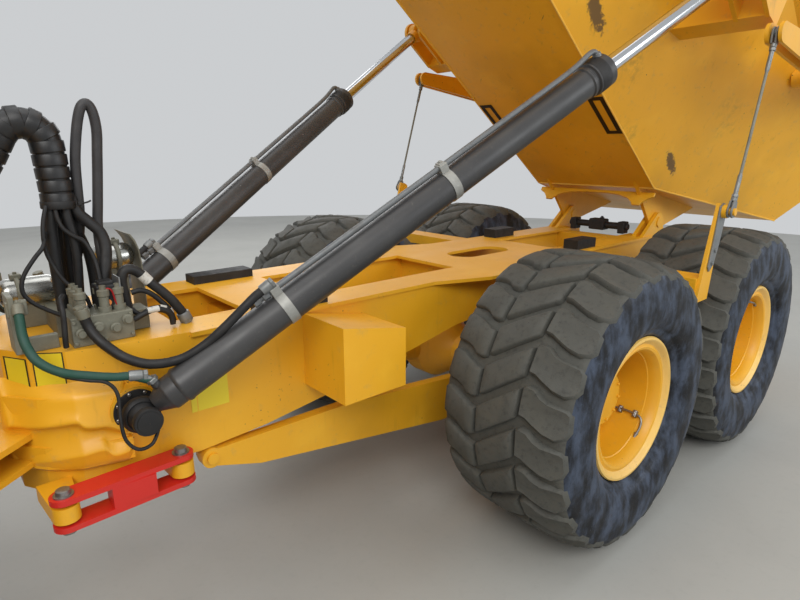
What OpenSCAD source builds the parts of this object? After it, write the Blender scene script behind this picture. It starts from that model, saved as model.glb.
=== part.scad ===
// Articulated six-wheel dump truck, parked with its body part raised.
// X runs from the front to the rear, Y to the right-hand side, Z up, in millimetres.
// Unless a comment says otherwise, a place along the truck is counted from the front bogie axle,
// rearwards, and a height from the middle of the axles.

/* [Wheels] */
// Radius of a tyre over its lugs
tyre_r = 775; // [740:5:800]
// Width of a tyre
tyre_w = 760; // [700:5:780]
// Lugs on each shoulder of a tyre
lug_rows = 20; // [12:1:26]
// Depth of the channels between the lugs
lug_depth = 34; // [20:1:45]
// Width of the channels between the lugs
lug_gap = 48; // [30:1:60]
// Radius of the tyre's opening and the rim's bead seats
bead_r = 318; // [300:1:330]
// Radius of the rim's flanges
flange_r = 390; // [370:1:410]
// Distance from the middle of the wheel to the outside of a flange
flange_out = 320; // [290:1:330]
// Thickness of the rim's shell
rim_wall = 18; // [12:1:24]
// Radius of the wheel's hub
hub_r = 205; // [180:1:230]
// Radius of the axle's spindles
spindle_r = 90; // [70:1:100]
// Distance across the truck between the middles of the tyres
track_w = 2316; // [2280:2:2400]

/* [Lengths] */
// Distance between the two bogie axles
bogie_base = 1670; // [1630:5:1750]
// Distance from the front bogie axle to the steering pivot
pivot_run = 2963; // [2900:1:3000]
// Distance from the steering pivot to the front axle
pivot_to_front = 1210; // [1180:5:1250]
// Distance from the front axle to the front of the bumper
front_overhang = 2748; // [2700:1:2800]
// Distance from the truck's middle to the front bogie axle
bogie_x = 1237.8; // [1100:0.1:1400]

/* [Rear frame] */
// Height of the frame's top above the axles
frame_top = 585; // [560:1:600]
// Thickness of the frame's top plate
plate_t = 20; // [12:1:26]
// Distance from the middle to the outside of a rail
rail_out = 470; // [440:1:490]
// Distance from the middle to the inside of a rail
rail_in = 300; // [260:1:330]
// Overhang of the top plate beyond a rail's outside
plate_lip = 14; // [6:1:20]
// Distance from the front bogie axle to the body's hinge
hinge_x = 2264; // [2200:1:2320]
// Height of the body's hinge above the axles
hinge_z = 693; // [680:1:710]
// Radius of the hinge pins
hinge_pin_r = 45; // [35:1:55]
// Radius of the steering pin
steer_pin_r = 50; // [40:1:60]

/* [Hoist] */
// Distance from the front bogie axle to the hoist cylinders' base pins
hoist_x = -2137; // [-2200:1:-2100]
// Height of the base pins above the axles
hoist_z = 327; // [300:1:350]
// Distance from the middle to a base pin
hoist_y = 550; // [540:1:570]
// Radius of a hoist cylinder's barrel
barrel_r = 72.5; // [65:0.5:80]
// Radius of a hoist cylinder's rod
rod_r = 42.5; // [35:0.5:48]
// Distance from the base pin to the end of the gland
gland_run = 2642; // [2600:1:2680]
// Distance from the middle to a rod's eye
eye_y = 1346; // [1330:1:1350]

/* [Load body] */
// How far the body is raised, in degrees
tip = 36; // [30:0.5:40]
// Half width of the body's floor
floor_w = 555; // [530:1:570]
// Height of the body's floor above the axles, lowered
floor_z = 738; // [735:1:745]
// Sideways slope of the body's sides
side_slope = 0.6; // [0.58:0.005:0.6]
// Height of the body's sides above the axles, lowered
side_top = 2045; // [2000:5:2060]
// Distance from the front bogie axle to where the floor turns up
kink_x = 1800; // [1780:1:1850]
// Rise of the tail's floor, in degrees
tail_rise = 24; // [22:0.5:25]
// Distance from the front bogie axle to the rear of the floor
tail_x = 3376; // [3340:1:3400]
// Thickness of the body's plates
body_t = 16; // [12:1:20]

/* [Tractor] */
// Half width of the cab
cab_w = 880; // [840:5:900]
// Height of the cab's floor above the axles
cab_low = 900; // [890:5:920]
// Height of the cab's roof above the axles
cab_top = 2655; // [2600:5:2700]
// Distance from the front axle back to the cab's rear wall
cab_rear = 623; // [600:1:640]
// Length of the cab at its floor
cab_len = 1450; // [1400:5:1480]
// Thickness of the cab's walls
cab_t = 40; // [30:1:50]
// Half width of the hood
hood_w = 700; // [660:5:720]

/* [Hidden] */

paint = "#f2a01c";
frame_grey = "#55585a";
// Gap between two solids that are seated on each other
seat_gap = 0.3;
// Clearance of a pin in its bore
pin_gap = 0.05;
// Clearance between pieces that move past each other
move_gap = 6;
frame_low = frame_top - plate_t;
front_x = -pivot_run - pivot_to_front;
front_end = front_x - front_overhang;
lug_y = rail_out - 34;

// Stands the truck on the floor with its middle over the origin
module truck() translate([bogie_x, 0, tyre_r]) children();

module both_sides() {
    children();
    mirror([0, 1, 0]) children();
}

// An outline of x and z made solid from y0 to y1
module side_plate(y0, y1, outline)
    translate([0, y1, 0]) rotate([90, 0, 0]) linear_extrude(y1 - y0) polygon(outline);

// A round bar across the truck from y0 to y1
module cross_bar(x, z, y0, y1, r)
    translate([x, y1, z]) rotate([90, 0, 0]) cylinder(r = r, h = y1 - y0, $fn = 48);

module block(low, high) translate(low) cube(high - low);

// Aims Z from one point at another
module aim(from, to) {
    run = to - from;
    translate(from) rotate([0, acos(run[2] / norm(run)), atan2(run[1], run[0])]) children();
}

// How far inside a round end a straight edge meets it, so that they cross cleanly
round_in = 1;

// A plate across x and z with a round end at each of two points
module link_plate(a, b, ra, rb, y0, y1) {
    run = b - a;
    turn = atan2(run[1], run[0]);
    lean = acos((ra - rb) / norm(run));
    out = [for (s = [1, -1]) [cos(turn + s * lean), sin(turn + s * lean)]];
    cross_bar(a[0], a[1], y0, y1, ra);
    cross_bar(b[0], b[1], y0, y1, rb);
    ia = ra - round_in;
    ib = rb - round_in;
    side_plate(y0, y1, [a + out[0] * ia, b + out[0] * ib, b, b + out[1] * ib, a + out[1] * ia, a]);
}

// Where a line from p touches a circle round c, on the side s
function tangent(p, c, r, s) = let (d = p - c, f = atan2(d[1], d[0]) + s * acos(r / norm(d)))
    c + r * [cos(f), sin(f)];

// A plate from two points of an edge to a round boss
module lug(a, b, c, r, y0, y1) {
    side = sign(cross(a - c, b - c));
    side_plate(y0, y1, [a, tangent(a, c, r - round_in, -side), c, tangent(b, c, r - round_in, side), b]);
    cross_bar(c[0], c[1], y0, y1, r);
}

// Wheels

// How far a channel leans from the wheel's axis, in degrees
lug_slant = 14;

// The tyre's half section: distance from the wheel's middle plane and radius
tyre_half = [[flange_out - 30, bead_r + seat_gap], [flange_out - 30, flange_r - 8], [0.47 * tyre_w, flange_r + 50],
    [0.5 * tyre_w, 0.72 * tyre_r], [0.49 * tyre_w, 0.84 * tyre_r], [0.465 * tyre_w, 0.945 * tyre_r],
    [0.40 * tyre_w, 0.985 * tyre_r], [0.24 * tyre_w, tyre_r]];

module wheel_place(x, side) truck() translate([x, side * track_w / 2, 0]) rotate([side * -90, 0, 0]) children();

// The channels between the lugs, one row on each shoulder, half a pitch apart
module tread_channels() for (end = [0, 1], i = [0:lug_rows - 1])
    rotate([0, 0, (i + end / 2) * 360 / lug_rows]) mirror([0, 0, end])
        translate([tyre_r - lug_depth, -lug_gap / 2, 0.13 * tyre_w]) rotate([lug_slant, 0, 0])
            cube([lug_depth + 20, lug_gap, 0.5 * tyre_w]);

module tyre(x, side) color("#2b2b2d") wheel_place(x, side) difference() {
    rotate_extrude($fn = 72) polygon(concat([for (p = tyre_half) [p[1], p[0]]],
        [for (i = [len(tyre_half) - 1:-1:0]) [tyre_half[i][1], -tyre_half[i][0]]]));
    tread_channels();
}

disc_at = 20;
disc_t = 30;
hub_out = 156;

module rim(x, side) color(paint) wheel_place(x, side) {
    difference() {
        rotate_extrude($fn = 72) polygon([
            [bead_r - rim_wall, -flange_out], [flange_r, -flange_out], [flange_r, -flange_out + rim_wall],
            [bead_r, -flange_out + rim_wall + 12], [bead_r, flange_out - rim_wall - 12],
            [flange_r, flange_out - rim_wall], [flange_r, flange_out], [bead_r + 22, flange_out - 8],
            [bead_r - rim_wall, flange_out - 60], [bead_r - rim_wall, disc_at + disc_t],
            [hub_r, disc_at + disc_t], [hub_r, hub_out - 30], [hub_r - 45, hub_out], [0, hub_out],
            [0, disc_at - 25], [hub_r, disc_at - 25], [bead_r - rim_wall, disc_at]]);
        translate([0, 0, disc_at - 26]) cylinder(r = spindle_r + pin_gap, h = hub_out - disc_at - 20, $fn = 48);
    }
}

axle_r = 112;

// An axle: a differential case, two tubes, brake drums and spindles, as a half section of y and radius
module axle(x) color(paint) truck() translate([x, 0, 0]) {
    inner_face = track_w / 2 + disc_at - 25;
    half = [[0, 235], [70, 235], [190, 160], [260, axle_r], [690, axle_r], [720, 150], [inner_face - 200, 150],
        [inner_face - 200, 225], [inner_face - move_gap, 225], [inner_face - move_gap, spindle_r],
        [inner_face + hub_out - disc_at - 30, spindle_r]];
    rotate([-90, 0, 0]) rotate_extrude($fn = 60) polygon(concat([[0, -half[len(half) - 1][0]]],
        [for (i = [len(half) - 1:-1:1]) [half[i][1], -half[i][0]]], [for (p = half) [p[1], p[0]]],
        [[0, half[len(half) - 1][0]]]));
    rotate([0, -90, 0]) cylinder(r1 = 120, r2 = 70, h = 330, $fn = 48);
}

module middle_axle() axle(0);
module rear_axle() axle(bogie_base);
module front_axle() axle(front_x);

// Rear frame

head_back = -1890;
head_front = -2510;
rail_end = 2160;
// Bottom of the rails: place along the truck and height
rail_low = [[head_back, 45], [-1580, 65], [-1220, 115], [-650, 215], [-300, 285], [200, 330], [1800, 330],
    [rail_end, 420]];
// The head seen from above: place along the truck and half width
head_plan = [[head_front, 200], [-2440, 320], [-2330, 400], [-2160, 440], [head_back, rail_out]];
// How far the head's casting swells out
swell = 45;
beam_x = bogie_base / 2;
beam_z = 235;
trunnion_r = 70;
crossbeam_x = 853;
anchor_z = 954;
cable_y = 1420;
cable_plane = 1470;
anchor = [953, anchor_z];

module mirrored_plan(half, z0, z1) translate([0, 0, z0]) linear_extrude(z1 - z0)
    polygon(concat(half, [for (i = [len(half) - 1:-1:0]) [half[i][0], -half[i][1]]]));

// A ball's zone between two flats, on the Y axis, its outline in straight steps
module ball_zone(c, r, half) translate(c) rotate([-90, 0, 0]) rotate_extrude($fn = 64)
    polygon(concat([[0, -half]], [for (i = [-4:4]) let (a = i / 4 * asin(half / r)) [r * cos(a), r * sin(a)]],
        [[0, half]]));

// The cylinder's base ball on its pin, beside the head
module hoist_ball() {
    cross_bar(hoist_x, hoist_z, rail_out - 60, hoist_y + 60, 35);
    cross_bar(hoist_x, hoist_z, rail_out - 60, hoist_y - 52, 95);
    ball_zone([hoist_x, hoist_y, hoist_z], ball_r, 44);
    cross_bar(hoist_x, hoist_z, hoist_y + 56, hoist_y + 98, 42);
    cross_bar(hoist_x, hoist_z, hoist_y + 66, hoist_y + 94, 52);
}

module frame_rails() both_sides() {
    side_plate(rail_in, rail_out, concat(rail_low, [[rail_end, frame_low], [head_back, frame_low]]));
    for (y = [lug_y + 4, lug_y - 66]) {
        lug([1960, frame_low - 5], [2400, frame_low - 60], [hinge_x, hinge_z], 82, y, y + 30);
        side_plate(y, y + 30, [[1960, frame_low + 1], [2400, frame_low - 59], [2400, 450], [1960, 350]]);
    }
    cross_bar(hinge_x, hinge_z, lug_y - 76, lug_y + 44, hinge_pin_r);
}

module frame_plate() difference() {
    union() {
        mirrored_plan(head_plan, frame_low, frame_top);
        both_sides() translate([0, 0, frame_low]) linear_extrude(plate_t)
            polygon([[head_back, rail_in - 30], [head_back, rail_out + plate_lip], [-500, rail_out + plate_lip],
                [-150, 610], [120, 610], [420, rail_out + plate_lip], [rail_end, rail_out + plate_lip],
                [rail_end, rail_in - 30]]);
        block([-120, -rail_in, frame_low], [980, rail_in, frame_top]);
        block([-1560, -rail_in, frame_low], [-1180, rail_in, frame_top]);
    }
    for (x = [280, 580]) translate([x, 0, frame_low - 1]) cylinder(r = 120, h = plate_t + 2, $fn = 48);
    block([280, -120, frame_low - 1], [580, 120, frame_top + 1]);
}

tow_pin_r = 26;

// A plate with an upright hole for a tow pin, behind the last cross member
module tow_plate() difference() {
    translate([0, 0, 440]) linear_extrude(40) polygon([[2050, -110], [2050, 110], [2150, 70], [2190, 45], [2190, -45],
        [2150, -70]]);
    translate([2140, 0, 430]) cylinder(r = tow_pin_r, h = 60, $fn = 48);
}

// Lugs that the lock link is bolted to, on the left of the head
module lock_lugs() for (p = link_ends) difference() {
    translate([0, 0, link_z0 + link_t + 12]) linear_extrude(link_z1 - link_z0 - 2 * link_t - 24) {
        translate(p) circle(r = 46, $fn = 48);
        polygon([p + [-46, 0], p + [-60, 190], p + [60, 190], p + [46, 0]]);
    }
    translate([p[0], p[1], link_z0]) cylinder(r = link_pin_r + seat_gap, h = link_z1 - link_z0, $fn = 48);
}

stay_pin_r = 25;
stay_front = [-1850, -5];
stay_rear = [530, 160];

// Lugs and pins under the rails for the stays, from y0 to y1 beside a stay's plate
module stay_pin(at, top, y0, y1, y2) {
    block([at[0] - 40, y0, at[1]], [at[0] + 40, y1, top]);
    cross_bar(at[0], at[1], y0, y1, 40);
    cross_bar(at[0], at[1], y0, y2, stay_pin_r);
}

module rear_frame() color(paint) truck() {
    tow_plate();
    both_sides() {
        stay_pin(stay_front, 46, 392, 413, 490);
        stay_pin(stay_rear, 335, 358, 378, 378);
        cross_bar(stay_rear[0], stay_rear[1], 290, 378, stay_pin_r);
        cross_bar(anchor[0], anchor[1], cable_y - 20, cable_plane - 16 - seat_gap, 40);
        cross_bar(anchor[0], anchor[1], cable_y - 20, cable_plane + 26, 22);
    }
    difference() {
        union() {
            mirrored_plan(head_plan, 45, frame_low);
            mirrored_plan([for (p = head_plan) if (p[0] < head_back) p], 5, 46);
            // Swells of the head's casting, as bottom and top
            for (z = [[125, 215], [325, 415]]) mirrored_plan([for (p = head_plan) if (p[0] < hoist_x)
                p + (p[0] > head_front ? [0, swell] : [-swell / 2, swell])], z[0], z[1]);
            lock_lugs();
            frame_rails();
            translate([head_front + 20, 0, 140]) rotate([0, -90, 0])
                cylinder(r = 165, h = pivot_run + head_front - 60, $fn = 64);
            translate([-pivot_run, 0, -85]) cylinder(r = 112, h = 450, $fn = 64);
        }
        translate([-pivot_run, 0, -86]) cylinder(r = steer_pin_r + pin_gap, h = 452, $fn = 64);
    }
    frame_plate();
    both_sides() hoist_ball();
    block([-1500, -rail_in, 200], [-1260, rail_in, 480]);
    block([-60, -rail_in, 400], [60, rail_in, frame_low]);
    block([1900, -rail_in, 420], [2060, rail_in, frame_low]);
    cross_bar(beam_x, beam_z + 120, -rail_in, rail_in, 90);
    // Outriggers that hold the tailgate's cables
    both_sides() {
        block([crossbeam_x - 90, rail_in, 485], [crossbeam_x + 90, cable_y - 20, frame_low]);
        side_plate(cable_y - 20, cable_y, [[crossbeam_x - 100, 425], [crossbeam_x + 60, 425],
            [crossbeam_x + 140, anchor_z + 20], [crossbeam_x + 60, anchor_z + 50]]);
        block([beam_x - 130, rail_out, beam_z - 100], [beam_x + 130, 530, 480]);
        cross_bar(beam_x, beam_z, 420, 705, trunnion_r);
    }
    // Ears that take the steering cylinders' rods
    both_sides() for (z = [steer_cyl_z - 66, steer_cyl_z + 42]) linear_extrude_at(z, 24)
        polygon([[-pivot_run + 80, 140], [steer_eye_x - 45, steer_eye_y - 10], [steer_eye_x - 35, steer_eye_y + 40],
            [steer_eye_x + 35, steer_eye_y + 40], [head_front + 90, 270], [head_front + 30, 120]]);
}

module linear_extrude_at(z, h) translate([0, 0, z]) linear_extrude(h) children();

module bogie_beams() color(paint) truck() both_sides() difference() {
    union() {
        side_plate(545, 685, [[-130, 150], [-130, 235], [beam_x - 330, 395], [beam_x + 330, 395],
            [bogie_base + 130, 235], [bogie_base + 130, 150], [bogie_base - 270, 150], [beam_x + 250, 75],
            [beam_x - 250, 75], [270, 150]]);
        cross_bar(beam_x, beam_z, 535, 695, 125);
    }
    cross_bar(beam_x, beam_z, 530, 710, trunnion_r + seat_gap);
}

// Rubber blocks between the axles and the beams, and on the rails where the body rests
module rest_pads() color("#1d1d1f") truck() {
    both_sides() for (x = [0, bogie_base]) difference() {
        block([x - 110, 550, 60], [x + 110, 680, 150]);
        cross_bar(x, 0, 540, 690, axle_r + seat_gap);
    }
    both_sides() {
        block([-1550, 330, frame_top], [-1200, 450, frame_top + 45]);
        block([1020, 330, frame_top], [1270, 450, frame_top + 70]);
    }
}

// A stay's plate with a bore at its pin and a saddle on the axle at x
module stay(outline, pin, x, y0, y1) difference() {
    union() {
        side_plate(y0, y1, outline);
        cross_bar(pin[0], pin[1], y0, y1, 46);
    }
    cross_bar(pin[0], pin[1], y0 - 1, y1 + 1, stay_pin_r + seat_gap);
    cross_bar(x, 0, y0 - 1, y1 + 1, axle_r + seat_gap);
}

// Stays from the frame to the axles, one pair to each axle of the bogie
module axle_stays() color(paint) truck() both_sides() {
    stay([stay_front + [-25, -30], stay_front + [-15, 37], [-1100, 25], [-300, -45], [-80, -50], [-80, -130], [-250, -310],
        [-420, -300], [-1620, -119]], stay_front, 0, 420, 478);
    stay([stay_rear + [0, -46], stay_rear + [0, 46], [1300, 110], [bogie_base - 60, 60],
        [bogie_base - 60, -60], [1300, 0]], stay_rear, bogie_base, 300, 350);
}

module side_box() color(paint) truck() side_plate(-800, -rail_out - seat_gap,
    [[-1360, 205], [-1360, frame_low - seat_gap], [-1000, 495], [-1000, 205]]);

link_z0 = -25;
link_z1 = 105;
link_t = 22;
link_pin_r = 20;
link_ends = [[-2430, -550], [-2000, -530]];

// The red link that locks the steering for transport, folded back on the frame's side
module lock_link() color("#d8402c") truck() {
    for (z = [link_z0, link_z1 - link_t]) translate([0, 0, z]) hull() for (p = link_ends)
        translate(p) cylinder(r = 48, h = link_t, $fn = 32);
    block([-2280, -590, link_z0 + link_t], [-2120, -500, link_z1 - link_t]);
    for (p = link_ends) translate([p[0], p[1], link_z0 - 12])
        cylinder(r = link_pin_r, h = link_z1 - link_z0 + 24, $fn = 48);
}

// Spool caps on the valves: place along and across
spool_caps = [[-2245, -345], [-2245, -240], [-2165, -340], [-2165, -250], [-2110, -340]];
// Accumulators on the deck: front end, place across and height, then length
accumulators = [[[-2460, 60, 735], 220], [[-2100, 40, 850], 160]];

module valve_block() color("#9a978a") truck() {
    block([-2295, -385, frame_top], [-2075, -205, frame_top + 115]);
    block([-2310, -206, frame_top], [-2190, 0, frame_top + 95]);
    block([-2076, -300, frame_top], [-1990, -190, frame_top + 87]);
    for (p = spool_caps) translate([p[0], p[1], frame_top + 114]) cylinder(r = 22, h = 90, $fn = 32);
    for (a = accumulators) {
        translate(a[0]) rotate([0, 90, 0]) cylinder(r = 62, h = a[1], $fn = 48);
        block([a[0][0] + 30, a[0][1] - 30, frame_top], [a[0][0] + a[1] - 30, a[0][1] + 60, a[0][2] - 20]);
    }
}

function way_at(p, i) = let (run = p[min(i + 1, len(p) - 1)] - p[max(i - 1, 0)]) run / norm(run);

// A hose of radius r along points
module swept(p, r, sides = 10) {
    rings = [for (i = [0:len(p) - 1]) let (w = way_at(p, i), n = cross(w, [0, 1, 0]), u = n / norm(n), v = cross(w, u))
        for (j = [0:sides - 1]) p[i] + r * (cos(j * 360 / sides) * u + sin(j * 360 / sides) * v)];
    last = (len(p) - 1) * sides;
    polyhedron(rings, concat([[for (j = [0:sides - 1]) j]], [[for (j = [sides - 1:-1:0]) last + j]],
        [for (i = [0:len(p) - 2], j = [0:sides - 1]) let (k = (j + 1) % sides)
            [i * sides + j, (i + 1) * sides + j, (i + 1) * sides + k, i * sides + k]]));
}

conduit_r = 60;
conduit_y = -150;
conduit_bend = 78;
conduit_top = [-2318, 1325];
// The conduit's route, from its mouth over the valves and down to the top of the steering pin
conduit = concat([[-2235, -122, frame_top + 95], [-2235, -122, 770], [-2233, -134, 900], [-2231, -146, 1030],
    [-2231, conduit_y, 1130], [-2235, conduit_y, 1230]],
    [for (a = [0:30:150]) [conduit_top[0] + conduit_bend * cos(a), conduit_y, conduit_top[1] + conduit_bend * sin(a)]],
    [[-2440, conduit_y, 1270], [-2503, -147, 1175], [-2575, -137, 1080], [-2655, -118, 990], [-2738, -92, 895],
    [-2815, -60, 795], [-2882, -32, 690], [-2935, -12, 590], [-2959, -2, 530], [-2963, 0, 495], [-2963, 0, 450.3]]);
loop_r = 21;
// The hose that stands up in a loop beside it
loop = [[-2212, -30, frame_top + 95], [-2212, -30, 725], [-2196, -44, 800], [-2170, -72, 890], [-2152, -112, 980],
    [-2146, -140, 1070], [-2142, -150, 1160], [-2138, -150, 1260], [-2131, -150, 1350], [-2119, -150, 1420],
    [-2103, -150, 1460], [-2086, -150, 1462], [-2072, -150, 1430], [-2067, -150, 1370], [-2068, -150, 1290],
    [-2074, -150, 1200], [-2082, -150, 1100], [-2092, -154, 1000], [-2098, -170, 900], [-2100, -200, 810],
    [-2100, -229, 745], [-2100, -229, frame_top + 115]];

module hydraulic_hoses() color("#1f1f21") truck() {
    swept(conduit, conduit_r);
    swept(loop, loop_r, 8);
}

// Hoist cylinders

ball_r = 60;
hoist_base = [hoist_x, hoist_y, hoist_z];
// The rod's eye with the body lowered, turned about the hinge to where it stands now
eye_low = [332, 1292];
function tipped(p) = [hinge_x + (p[0] - hinge_x) * cos(tip) + (p[1] - hinge_z) * sin(tip),
    hinge_z - (p[0] - hinge_x) * sin(tip) + (p[1] - hinge_z) * cos(tip)];
eye_now = tipped(eye_low);
hoist_eye = [eye_now[0], eye_y, eye_now[1]];
hoist_run = norm(hoist_eye - hoist_base);
rod_len = 2560;
eye_half = 36;
// Where the bands lie, counted from the base pin, where the pipe starts, and how far it stands off
band_runs = [685, 1594];
pipe_run = 600;
pipe_r = 13.5;
pipe_up = 24;
// Gaps beside the rod's eye, wider inside where it swings in
ear_in = 62;
ear_out = 10;

module hoist_barrel() difference() {
    union() {
        cross_bar(hoist_x, hoist_z, hoist_y - 40, hoist_y + 40, 88);
        aim(hoist_base, hoist_eye) {
            translate([0, 0, 52]) cylinder(r1 = 40, r2 = 68, h = 70, $fn = 64);
            translate([0, 0, 110]) cylinder(r = barrel_r, h = gland_run - 220, $fn = 64);
            translate([0, 0, gland_run - 122]) cylinder(r = 85, h = 122, $fn = 64);
            // Bands and the pipe that they hold
            for (run = band_runs) {
                translate([0, 0, run - 21]) cylinder(r = barrel_r + 4, h = 42, $fn = 64);
                translate([-barrel_r - pipe_up - 10, -22, run - 21]) cube([pipe_up + 20, 44, 42]);
            }
            translate([-barrel_r - pipe_up, 0, pipe_run]) cylinder(r = pipe_r, h = gland_run - 40 - pipe_run, $fn = 32);
            translate([-barrel_r - pipe_up - pipe_r, -pipe_r, gland_run - 60]) cube([pipe_up + pipe_r, 2 * pipe_r, 30]);
        }
    }
    ball_zone(hoist_base, ball_r + 1, 44);
    aim(hoist_base, hoist_eye) {
        translate([0, 0, 180]) cylinder(r = barrel_r - 14, h = gland_run - 290, $fn = 64);
        translate([0, 0, gland_run - 130]) cylinder(r = rod_r + pin_gap, h = 140, $fn = 64);
    }
}

module hoist_rod() {
    aim(hoist_base, hoist_eye) translate([0, 0, hoist_run - rod_len])
        cylinder(r = rod_r, h = rod_len - 60, $fn = 64);
    cross_bar(hoist_eye[0], hoist_eye[2], eye_y - eye_half, eye_y + eye_half, 75);
}

// Load body, drawn lowered and then raised about its hinge

body_front = -1900;
front_lean = 200;
headboard = 230;
tail_z = floor_z + (tail_x - kink_x) * tan(tail_rise);
rear_lean = 84;
hoist_lug_t = 25;

module raised() truck() translate([hinge_x, 0, hinge_z]) rotate([0, tip, 0]) translate([-hinge_x, 0, -hinge_z])
    children();

// Half width of the body's outside at the height z, t inside its skin
function side_at(z, t = 0) = floor_w + side_slope * (z - floor_z) - t * sqrt(1 + side_slope * side_slope);
function front_at(z, t = 0) = body_front + t - front_lean * (z - floor_z) / (side_top - floor_z);
function tail_at(x, t = 0) = floor_z + t / cos(tail_rise) + (x - kink_x) * tan(tail_rise);

// An outline of y and z made solid from x0 to x1
module cross_plate(x0, x1, outline) rotate([90, 0, 90]) translate([0, 0, x0]) linear_extrude(x1 - x0)
    polygon(outline);

// The body's outside for t = 0, or the room within plates of thickness t, up to the height z1
module body_room(t, z1) {
    rear = t > 0 ? tail_x + 600 : tail_x;
    intersection() {
        cross_plate(-3000, 5000, [[-side_at(floor_z + t, t), floor_z + t], [side_at(floor_z + t, t), floor_z + t],
            [side_at(z1, t), z1], [-side_at(z1, t), z1]]);
        side_plate(-2500, 2500, [[front_at(floor_z, t), floor_z], [kink_x + (t - t / cos(tail_rise)) / tan(tail_rise),
            floor_z + t], [rear, tail_at(rear, t)], [rear + rear_lean, z1], [front_at(z1, t), z1]]);
    }
}

hinge = [hinge_x, hinge_z];
gate_pivot = [1900, 1845];
gate_pin_r = 40;
gate_tip = [495, 1842];
gate_open = 31.3;
arm_y = [1425, 1445];
arm_y2 = [1495, 1515];

module load_body() color(paint) raised() {
    difference() {
        union() {
            body_room(0, side_top);
            // Headboard and the guard that leans over the cab
            intersection() {
                side_plate(-side_at(side_top), side_at(side_top), [[front_at(side_top), side_top - 1],
                    [front_at(side_top + headboard), side_top + headboard],
                    [front_at(side_top + headboard) + 40, side_top + headboard], [front_at(side_top) + 60, side_top - 1]]);
                cross_plate(-3000, 0, [[-1340, side_top - 5], [1340, side_top - 5], [1150, side_top + 240],
                    [-1150, side_top + 240]]);
            }
            both_sides() {
                cross_plate(front_at(side_top) - 10, tail_x + rear_lean - 10, [[side_at(side_top - 130) - 5, side_top - 130],
                    [side_at(side_top) + 50, side_top - 70], [side_at(side_top) + 50, side_top],
                    [side_at(side_top) - 30, side_top]]);
                // Hinge lugs under the tail
                lug([1720, floor_z], [2850, tail_at(2850)], hinge, 80, lug_y - 30, lug_y - 2);
                // Pivots of the tailgate
                cross_bar(gate_pivot[0], gate_pivot[1], side_at(gate_pivot[1]) - 12, arm_y2[1] + 12, gate_pin_r);
                cross_bar(gate_pivot[0], gate_pivot[1], side_at(gate_pivot[1]) - 12, arm_y[0] - move_gap, 75);
                hoist_bracket();
            }
        }
        body_room(body_t, side_top + 400);
        both_sides() cross_bar(hinge_x, hinge_z, lug_y - 31, lug_y - 1, hinge_pin_r + pin_gap);
    }
}

// Ears beside the rod's eye, on a stub beam out of the body's side
module hoist_bracket() {
    beam = eye_low + [330, 60];
    for (y = [eye_y - eye_half - ear_in - hoist_lug_t, eye_y + eye_half + ear_out])
        lug(beam + [0, -150], beam + [-60, 190], eye_low, 85, y, y + hoist_lug_t);
    side_plate(side_at(beam[1] - 150) - 10, eye_y + eye_half + ear_out + hoist_lug_t,
        [beam + [-20, -150], beam + [120, -110], beam + [120, 190], beam + [-60, 190]]);
}

module opened() raised() translate([gate_pivot[0], 0, gate_pivot[1]]) rotate([0, -gate_open, 0])
    translate([-gate_pivot[0], 0, -gate_pivot[1]]) children();

gate_foot = [3450, 1245];
gate_high = 843;
gate_rake = 10.2;
gate_t = 14;
// Where the arms meet the gate
gate_joint = gate_foot + [150, 685];

module tailgate() color(paint) opened() {
    translate([gate_foot[0], 0, gate_foot[1]]) rotate([0, gate_rake, 0]) {
        w0 = side_at(gate_foot[1]) + 30;
        w1 = side_at(gate_foot[1] + gate_high) + 30;
        difference() {
            cross_plate(0, 110, [[-w0, 0], [w0, 0], [w1, gate_high], [-w1, gate_high]]);
            cross_plate(gate_t, 120, [[-w0 + 60, 90], [w0 - 60, 90], [w1 - 110, gate_high - 90], [-w1 + 110, gate_high - 90]]);
        }
        both_sides() cross_plate(5, 105, [[w1 - 90, gate_high - 330], [arm_y2[1] - 3, gate_high - 230],
            [arm_y2[1] - 3, gate_high - 20], [w1 - 90, gate_high - 20]]);
    }
    both_sides() difference() {
        union() for (y = [arm_y, arm_y2]) {
            link_plate(gate_tip, gate_pivot, 58, 120, y[0], y[1]);
            link_plate(gate_pivot, gate_joint, 120, 70, y[0], y[1]);
        }
        cross_bar(gate_pivot[0], gate_pivot[1], arm_y[0] - 1, arm_y2[1] + 1, gate_pin_r + pin_gap);
    }
    both_sides() cross_bar(gate_tip[0] + 700, gate_tip[1], arm_y[1] - 1, arm_y2[0] + 1, 30);
}

cable_tip = tipped([gate_pivot[0] + (gate_tip[0] - gate_pivot[0]) * cos(gate_open)
        - (gate_tip[1] - gate_pivot[1]) * sin(gate_open),
    gate_pivot[1] + (gate_tip[0] - gate_pivot[0]) * sin(gate_open) + (gate_tip[1] - gate_pivot[1]) * cos(gate_open)]);
cable_r = 9;

module gate_cable() {
    low = [anchor[0], cable_plane, anchor[1]];
    high = [cable_tip[0], cable_plane, cable_tip[1]];
    difference() {
        cross_bar(anchor[0], anchor[1], cable_plane - 16, cable_plane + 16, 45);
        cross_bar(anchor[0], anchor[1], cable_plane - 17, cable_plane + 17, 22 + pin_gap);
    }
    cross_bar(cable_tip[0], cable_tip[1], cable_plane - 18, cable_plane + 18, 42);
    aim(low, high) translate([0, 0, 40]) cylinder(r = 22, h = 180, $fn = 24);
    aim(low, high) translate([0, 0, 60]) cylinder(r = cable_r, h = norm(high - low) - 90, $fn = 24);
    aim(low, high) translate([0, 0, norm(high - low) - 170]) cylinder(r = 16, h = 140, $fn = 24);
}

// Tractor

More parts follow.
